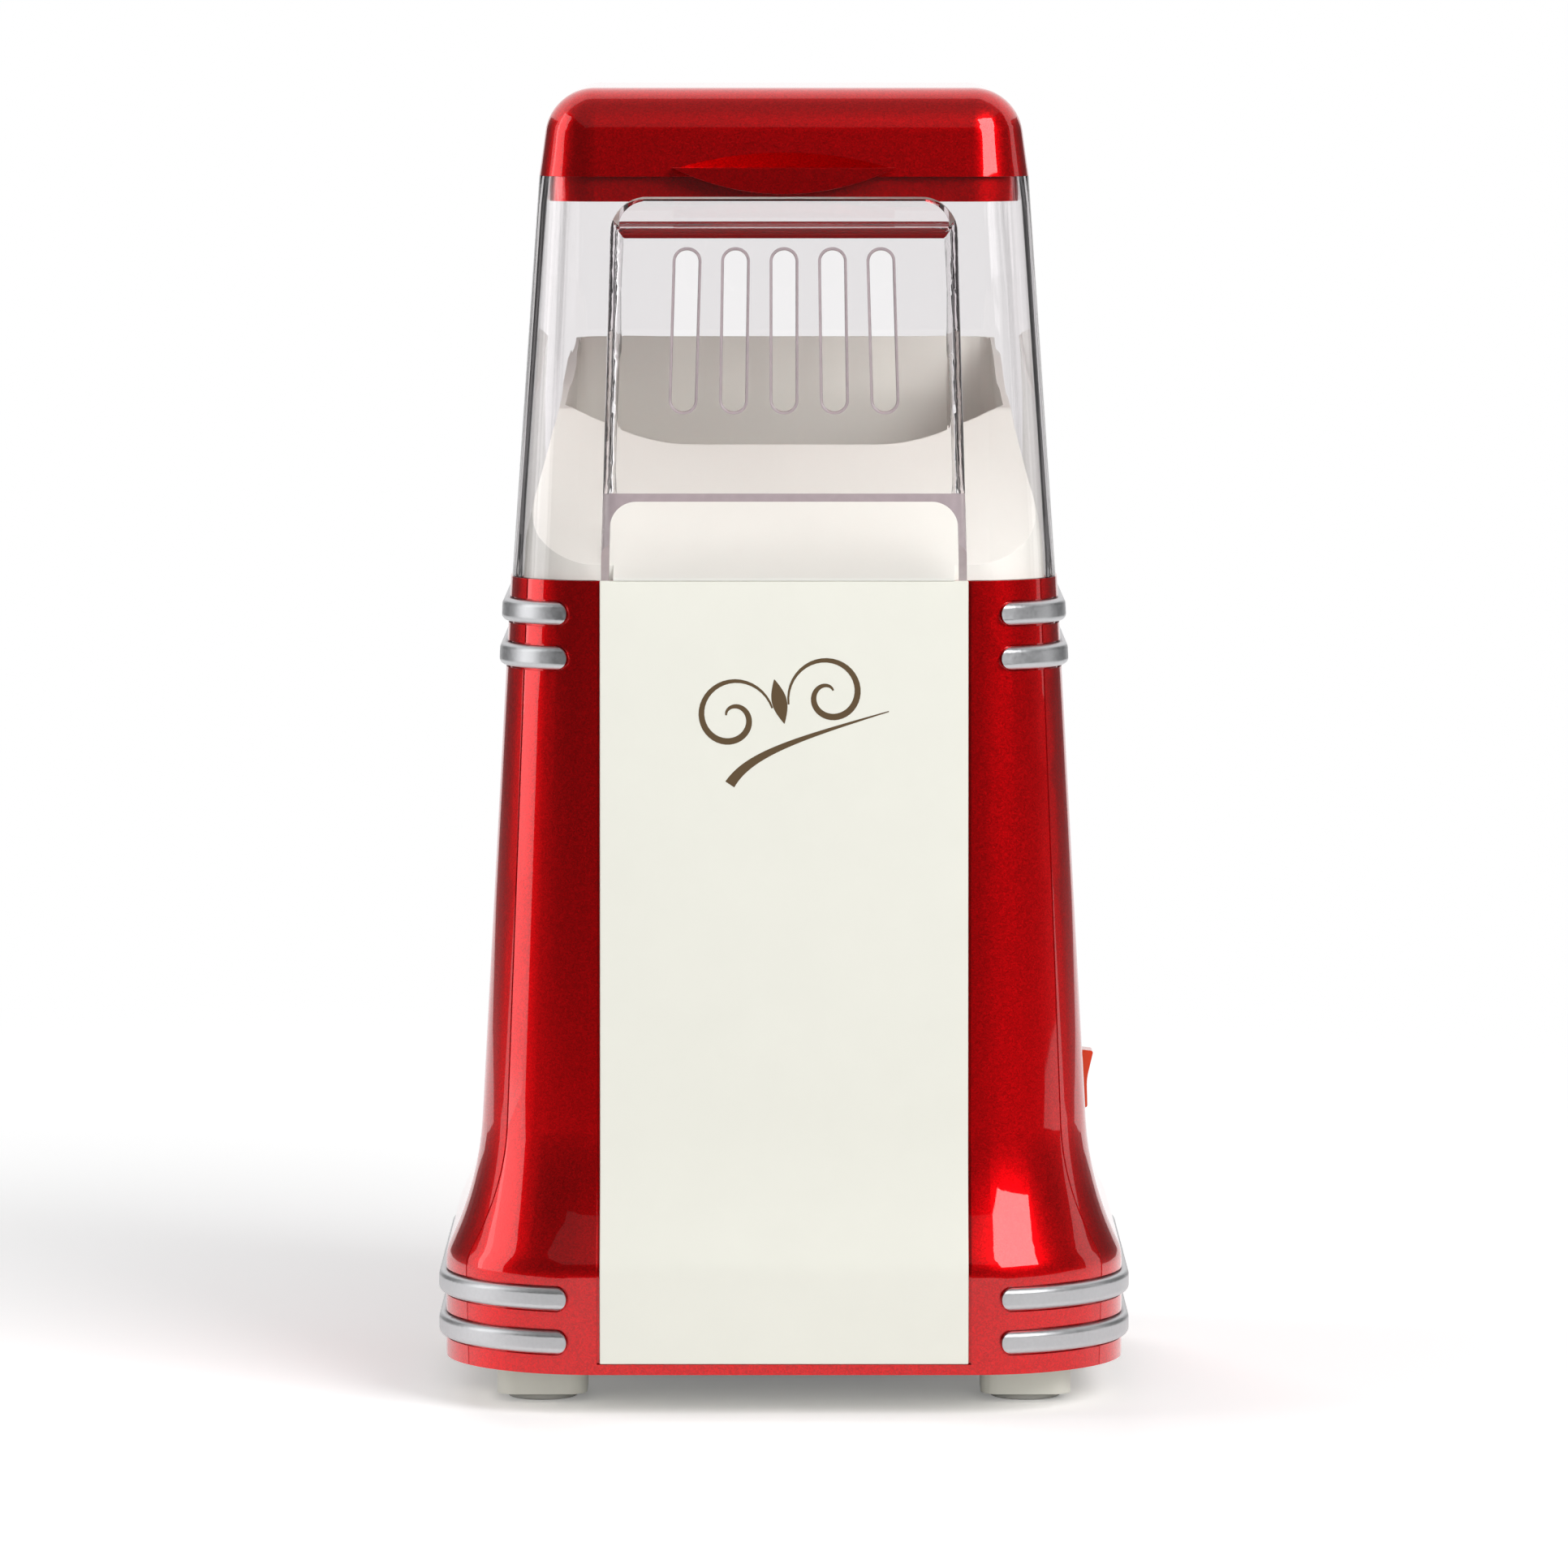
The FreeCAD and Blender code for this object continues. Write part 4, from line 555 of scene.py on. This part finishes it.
def ornament_strokes():
    """Lines of the printed ornament with their width at each point, before it is slanted."""
    settings = finish()
    height = settings.print_height
    width = settings.print_width
    stroke = settings.print_stroke
    steps = settings.print_steps
    strokes = [(
        curve_points([(across * width, up * height) for across, up in UNDERLINE], steps),
        [stroke * (1.5 - 1.35 * step / steps) for step in range(steps + 1)])]
    centre = (SCROLL_CENTRE[0] * width, SCROLL_CENTRE[1] * height)
    scroll_steps = 2 * steps
    for side in (-1, 1):
        strokes.append((
            scroll_points(side, centre, SCROLL_RADIUS * width, SCROLL_TURNS, scroll_steps),
            [stroke * (0.25 + 0.65 * math.sin(math.pi * step / scroll_steps))
             for step in range(scroll_steps + 1)]))
    strokes.append((
        [Vector((0, height * (-0.02 + 0.46 * step / steps))) for step in range(steps + 1)],
        [stroke * (0.1 + 2.0 * math.sin(math.pi * step / steps)) for step in range(steps + 1)]))
    return strokes


def ribbon(form, points, widths, face, thick):
    """Printed line of changing width that lies on a face."""
    rows = []
    for index, point in enumerate(points):
        ahead = points[min(index + 1, len(points) - 1)] - points[max(index - 1, 0)]
        across = Vector((-ahead.y, ahead.x)).normalized() * widths[index] / 2
        rows.append([
            form.verts.new((edge.x, face(edge.x, edge.y) + depth, edge.y))
            for depth in (-thick, thick / 2) for edge in (point + across, point - across)])
    for near, far in zip(rows, rows[1:]):
        for first, second in ((0, 1), (1, 3), (3, 2), (2, 0)):
            form.faces.new((near[first], near[second], far[second], far[first]))
    form.faces.new((rows[0][0], rows[0][1], rows[0][3], rows[0][2]))
    form.faces.new((rows[-1][2], rows[-1][3], rows[-1][1], rows[-1][0]))


def panel_face():
    """Function that gives the panel's front at a place on it."""
    form = bmesh.new()
    form.from_mesh(frame["nodes"]["front_panel"].data)
    tree = BVHTree.FromBMesh(form)
    form.free()
    return lambda x, z: tree.ray_cast(Vector((x, -1, z)), Vector((0, 1, 0)))[0].y


class POPCORN_OT_red_casing(bpy.types.Operator):
    """Lacquer both shells and the lid"""

    bl_idname = "popcorn.red_casing"
    bl_label = "Red Casing"

    def execute(self, context):
        lacquer = red_lacquer()
        for node in RED_NODES:
            dress(node, lacquer)
        return {"FINISHED"}


class POPCORN_OT_cream_mouldings(bpy.types.Operator):
    """Finish the panel, the funnel with its chute, and the base"""

    bl_idname = "popcorn.cream_mouldings"
    bl_label = "Cream Mouldings"

    def execute(self, context):
        cream = moulded_plastic("cream_plastic", finish().cream, 0.34)
        for node in CREAM_NODES:
            dress(node, cream)
        # The funnel's cream carries painted shade for the light that the hood would hold back
        funnel = moulded_plastic("funnel_cream_with_painted_shade", finish().funnel_cream_with_painted_shade, 0.4)
        dress("chute_funnel", funnel)
        return {"FINISHED"}


class POPCORN_OT_ornament(bpy.types.Operator):
    """Print the slanted ornament on the panel"""

    bl_idname = "popcorn.ornament"
    bl_label = "Panel Ornament"

    def execute(self, context):
        settings = finish()
        low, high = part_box("front_panel")
        centre = Vector(((low.x + high.x) / 2, low.z + settings.print_place * (high.z - low.z)))
        slant = Matrix.Rotation(settings.print_slant, 2)
        face = panel_face()
        form = bmesh.new()
        for points, widths in ornament_strokes():
            ribbon(form, [centre + slant @ point for point in points], widths, face, settings.print_thick)
        bmesh.ops.recalc_face_normals(form, faces=form.faces[:])
        ink = moulded_plastic("brown_print", settings.print_brown, 0.45)
        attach(link_form("panel_ornament", form, ink), "base")
        return {"FINISHED"}


class POPCORN_OT_trim_bars(bpy.types.Operator):
    """Coat the eight trim bars in satin silver"""

    bl_idname = "popcorn.trim_bars"
    bl_label = "Trim Bars"

    def execute(self, context):
        silver = plain_metal("satin_silver", finish().silver, 0.40, 900.0)
        for node in frame["nodes"]:
            if "_bar_" in node:
                dress(node, silver)
        return {"FINISHED"}


class POPCORN_OT_clear_hood(bpy.types.Operator):
    """Make the hood of clear moulded plastic"""

    bl_idname = "popcorn.clear_hood"
    bl_label = "Clear Hood"

    def execute(self, context):
        # The hood's slot walls and mouth band carry painted shade and reflection
        hood = dress("hood", clear_plastic(), edge_shade_and_reflection())
        # The hood casts no shadow, so the funnel's cream carries painted shade in its place
        hood.visible_shadow = False
        return {"FINISHED"}


class POPCORN_OT_switch(bpy.types.Operator):
    """Colour the rocker switch"""

    bl_idname = "popcorn.switch"
    bl_label = "Rocker Switch"

    def execute(self, context):
        orange = moulded_plastic("rocker_orange", finish().rocker, 0.2, 0.6)
        dress("switch_rocker", orange)
        black = moulded_plastic("black_plastic", (0.012, 0.012, 0.013, 1), 0.4)
        for node in BLACK_NODES:
            dress(node, black)
        return {"FINISHED"}


class POPCORN_OT_feet(bpy.types.Operator):
    """Finish the four foot pads"""

    bl_idname = "popcorn.feet"
    bl_label = "Foot Pads"

    def execute(self, context):
        rubber = moulded_plastic("rubber", (0.55, 0.54, 0.50, 1), 0.75)
        for node in frame["nodes"]:
            if node.startswith("foot_pad"):
                dress(node, rubber)
        return {"FINISHED"}


class POPCORN_OT_inner_works(bpy.types.Operator):
    """Finish the chamber, the heater, the fan, the motor and the small hardware"""

    bl_idname = "popcorn.inner_works"
    bl_label = "Inner Works"

    def execute(self, context):
        aluminium = plain_metal("spun_aluminium", (0.72, 0.72, 0.73, 1), 0.3, 700.0)
        dress("popping_chamber", aluminium)
        for name, colour, roughness, grain_scale, nodes in INNER_METALS:
            paint(nodes, plain_metal(name, colour, roughness, grain_scale))
        for name, colour, roughness, nodes in INNER_MOULDINGS:
            paint(nodes, moulded_plastic(name, colour, roughness))
        return {"FINISHED"}


def background_share(tree):
    """Light path value that is one where the background is seen, but not where it lights a surface."""
    path = tree.nodes.new("ShaderNodeLightPath")
    seen = path.outputs["Is Camera Ray"]
    for name in ("Is Glossy Ray", "Is Transmission Ray"):
        seen = calculate(tree, "MAXIMUM", seen, path.outputs[name])
    direct = calculate(tree, "LESS_THAN", path.outputs["Diffuse Depth"], ANY_BOUNCE)
    return calculate(tree, "MULTIPLY", seen, direct)


def white_world():
    """World that lights softly and shows as white."""
    world = bpy.data.worlds.new("studio")
    world.use_nodes = True
    tree = world.node_tree
    tree.nodes.clear()
    output = tree.nodes.new("ShaderNodeOutputWorld")
    soft = tree.nodes.new("ShaderNodeBackground")
    soft.inputs["Color"].default_value = WHITE
    soft.inputs["Strength"].default_value = stage().ambient
    white = tree.nodes.new("ShaderNodeBackground")
    white.inputs["Color"].default_value = WHITE
    mixed = mix_shaders(
        tree, background_share(tree), soft.outputs["Background"], white.outputs["Background"])
    tree.links.new(mixed, output.inputs["Surface"])
    bpy.context.scene.world = world


def floor_material():
    """Pale floor that keeps the object's shadow and turns to plain white further off."""
    settings = stage()
    material = bpy.data.materials.new("floor")
    material.use_nodes = True
    tree = material.node_tree
    tree.nodes.clear()
    output = tree.nodes.new("ShaderNodeOutputMaterial")
    seen = background_share(tree)
    matt = tree.nodes.new("ShaderNodeBsdfDiffuse")
    tree.links.new(spread(tree, seen, FLOOR_GREY, settings.floor_gain), matt.inputs["Color"])
    white = tree.nodes.new("ShaderNodeEmission")
    white.inputs["Color"].default_value = WHITE
    place = tree.nodes.new("ShaderNodeTexCoord")
    away = tree.nodes.new("ShaderNodeVectorMath")
    away.operation = "LENGTH"
    tree.links.new(place.outputs["Object"], away.inputs[0])
    reach = tree.nodes.new("ShaderNodeMapRange")
    reach.interpolation_type = "SMOOTHSTEP"
    reach.inputs["From Min"].default_value = settings.shadow_reach
    reach.inputs["From Max"].default_value = 3 * settings.shadow_reach
    reach.inputs["To Min"].default_value = settings.floor_lift
    reach.inputs["To Max"].default_value = 1.0
    tree.links.new(away.outputs["Value"], reach.inputs["Value"])
    share = calculate(tree, "MULTIPLY", seen, reach.outputs["Result"])
    mixed = mix_shaders(tree, share, matt.outputs["BSDF"], white.outputs["Emission"])
    tree.links.new(mixed, output.inputs["Surface"])
    return material


def add_floor():
    """Floor under the feet."""
    form = bmesh.new()
    bmesh.ops.create_grid(form, x_segments=2, y_segments=2, size=stage().floor_size / 2)
    floor = link_form("floor", form, floor_material())


def flag_cloth(name, glow):
    """Cloth of a flag, a little uneven, that shows where it is mirrored and not through glass."""
    material, tree, shader, place = new_material(name)
    weave = noise(tree, place, 40.0)
    tree.links.new(
        blend_colours(tree, weave, (0.012, 0.012, 0.012, 1), (0.02, 0.02, 0.02, 1)),
        shader.inputs["Base Color"])
    shader.inputs["Roughness"].default_value = 0.9
    shader.inputs["Specular IOR Level"].default_value = 0.1
    shader.inputs["Emission Color"].default_value = WHITE
    shader.inputs["Emission Strength"].default_value = glow
    path = tree.nodes.new("ShaderNodeLightPath")
    mirrored = calculate(tree, "GREATER_THAN", path.outputs["Glossy Depth"], ANY_BOUNCE)
    clear = tree.nodes.new("ShaderNodeBsdfTransparent")
    mixed = mix_shaders(tree, mirrored, clear.outputs["BSDF"], shader.outputs["BSDF"])
    tree.links.new(mixed, tree.nodes["Material Output"].inputs["Surface"])
    return material


def add_flag(name, corners, material):
    """Flag that shows in reflections alone."""
    form = bmesh.new()
    form.faces.new([form.verts.new(corner) for corner in corners])
    flag = link_form(name, form, material)
    flag.visible_camera = False
    flag.visible_diffuse = False
    flag.visible_shadow = False


def standing(start, end, height):
    """Corners of a flag that stands on the floor between two spots."""
    return start + (0,), end + (0,), end + (height,), start + (height,)


def lying(half, start, end, height):
    """Corners of a flag that lies level, from front to back."""
    return (-half, start, height), (half, start, height), (half, end, height), (-half, end, height)


def add_flags():
    """Flags behind, over and under the camera, and two out of view on each side of the object."""
    settings = stage()
    half = settings.flag_width / 2
    back = -2 * settings.eye_distance
    high = settings.flag_height
    cloth = flag_cloth("dark_cloth", settings.cloth_glow)
    add_flag("flag_front", standing((-half, back), (half, back), high), cloth)
    silk = flag_cloth("grey_silk", settings.silk_glow)
    add_flag("flag_top", lying(half, back, SILK_END, high), silk)
    add_flag("flag_floor", lying(half, back, FLOOR_FLAG_END, settings.floor_flag), cloth)
    for name, side in (("left", -1), ("right", 1)):
        near = side * settings.side_flag
        far = 3 * near
        behind = standing((near, SIDE_FLAG_END), (near, SIDE_FLAG_END + half / 4), high / 4)
        add_flag("flag_back_" + name, behind, cloth)
        add_flag("flag_side_" + name, standing((far, back), (far, SIDE_FLAG_END), high), cloth)


def add_lamp(name, place, width, height, power, in_gloss):
    """Soft box that faces the object."""
    data = bpy.data.lights.new(name, "AREA")
    data.shape = "RECTANGLE"
    data.size = width
    data.size_y = height
    data.energy = power
    lamp = bpy.data.objects.new(name, data)
    lamp.visible_glossy = in_gloss
    lamp.visible_transmission = in_gloss
    lamp.location = place
    lamp.rotation_euler = (Vector(LAMP_AIM) - Vector(place)).to_track_quat("-Z", "Y").to_euler()
    bpy.context.scene.collection.objects.link(lamp)


def add_camera():
    """Camera placed as the photographer's was."""
    settings = stage()
    data = bpy.data.cameras.new("camera")
    data.sensor_width = SENSOR_WIDTH
    data.lens = settings.lens
    data.clip_end = CLIP_END
    camera = bpy.data.objects.new("camera", data)
    camera.location = (0, -settings.eye_distance, settings.eye_height)
    camera.rotation_euler = (math.pi / 2 - settings.eye_tilt, 0, 0)
    bpy.context.scene.collection.objects.link(camera)
    bpy.context.scene.camera = camera


class POPCORN_OT_studio(bpy.types.Operator):
    """Set up the floor, the flags, the soft boxes, the white background and the camera"""

    bl_idname = "popcorn.studio"
    bl_label = "Studio"

    def execute(self, context):
        white_world()
        add_floor()
        add_flags()
        for lamp in LAMPS:
            add_lamp(*lamp)
        add_camera()
        context.scene.view_settings.view_transform = "Standard"
        return {"FINISHED"}


PIECE_OPERATORS = (
    POPCORN_OT_red_casing, POPCORN_OT_cream_mouldings, POPCORN_OT_ornament, POPCORN_OT_trim_bars,
    POPCORN_OT_clear_hood, POPCORN_OT_switch, POPCORN_OT_feet, POPCORN_OT_inner_works,
    POPCORN_OT_studio)


class POPCORN_PT_sidebar(bpy.types.Panel):
    """Steps that dress the popcorn maker"""

    bl_idname = "POPCORN_PT_sidebar"
    bl_label = "Popcorn Maker"
    bl_space_type = "VIEW_3D"
    bl_region_type = "UI"
    bl_category = "Popcorn Maker"

    def draw(self, context):
        for operator in PIECE_OPERATORS:
            self.layout.operator(operator.bl_idname)


CLASSES = (FinishSettings, StageSettings) + PIECE_OPERATORS + (POPCORN_PT_sidebar,)


def register():
    """Make the settings, the steps and the sidebar known."""
    for item in CLASSES:
        bpy.utils.register_class(item)
    bpy.types.Scene.popcorn_finish = PointerProperty(type=FinishSettings)
    bpy.types.Scene.popcorn_stage = PointerProperty(type=StageSettings)


def unregister():
    """Take the settings, the steps and the sidebar away."""
    del bpy.types.Scene.popcorn_stage
    del bpy.types.Scene.popcorn_finish
    for item in reversed(CLASSES):
        bpy.utils.unregister_class(item)


def main():
    """Dress every piece in order and set up the studio."""
    register()
    for operator in PIECE_OPERATORS:
        group, step = operator.bl_idname.split(".")
        getattr(getattr(bpy.ops, group), step)()


if __name__ == "__main__":
    main()
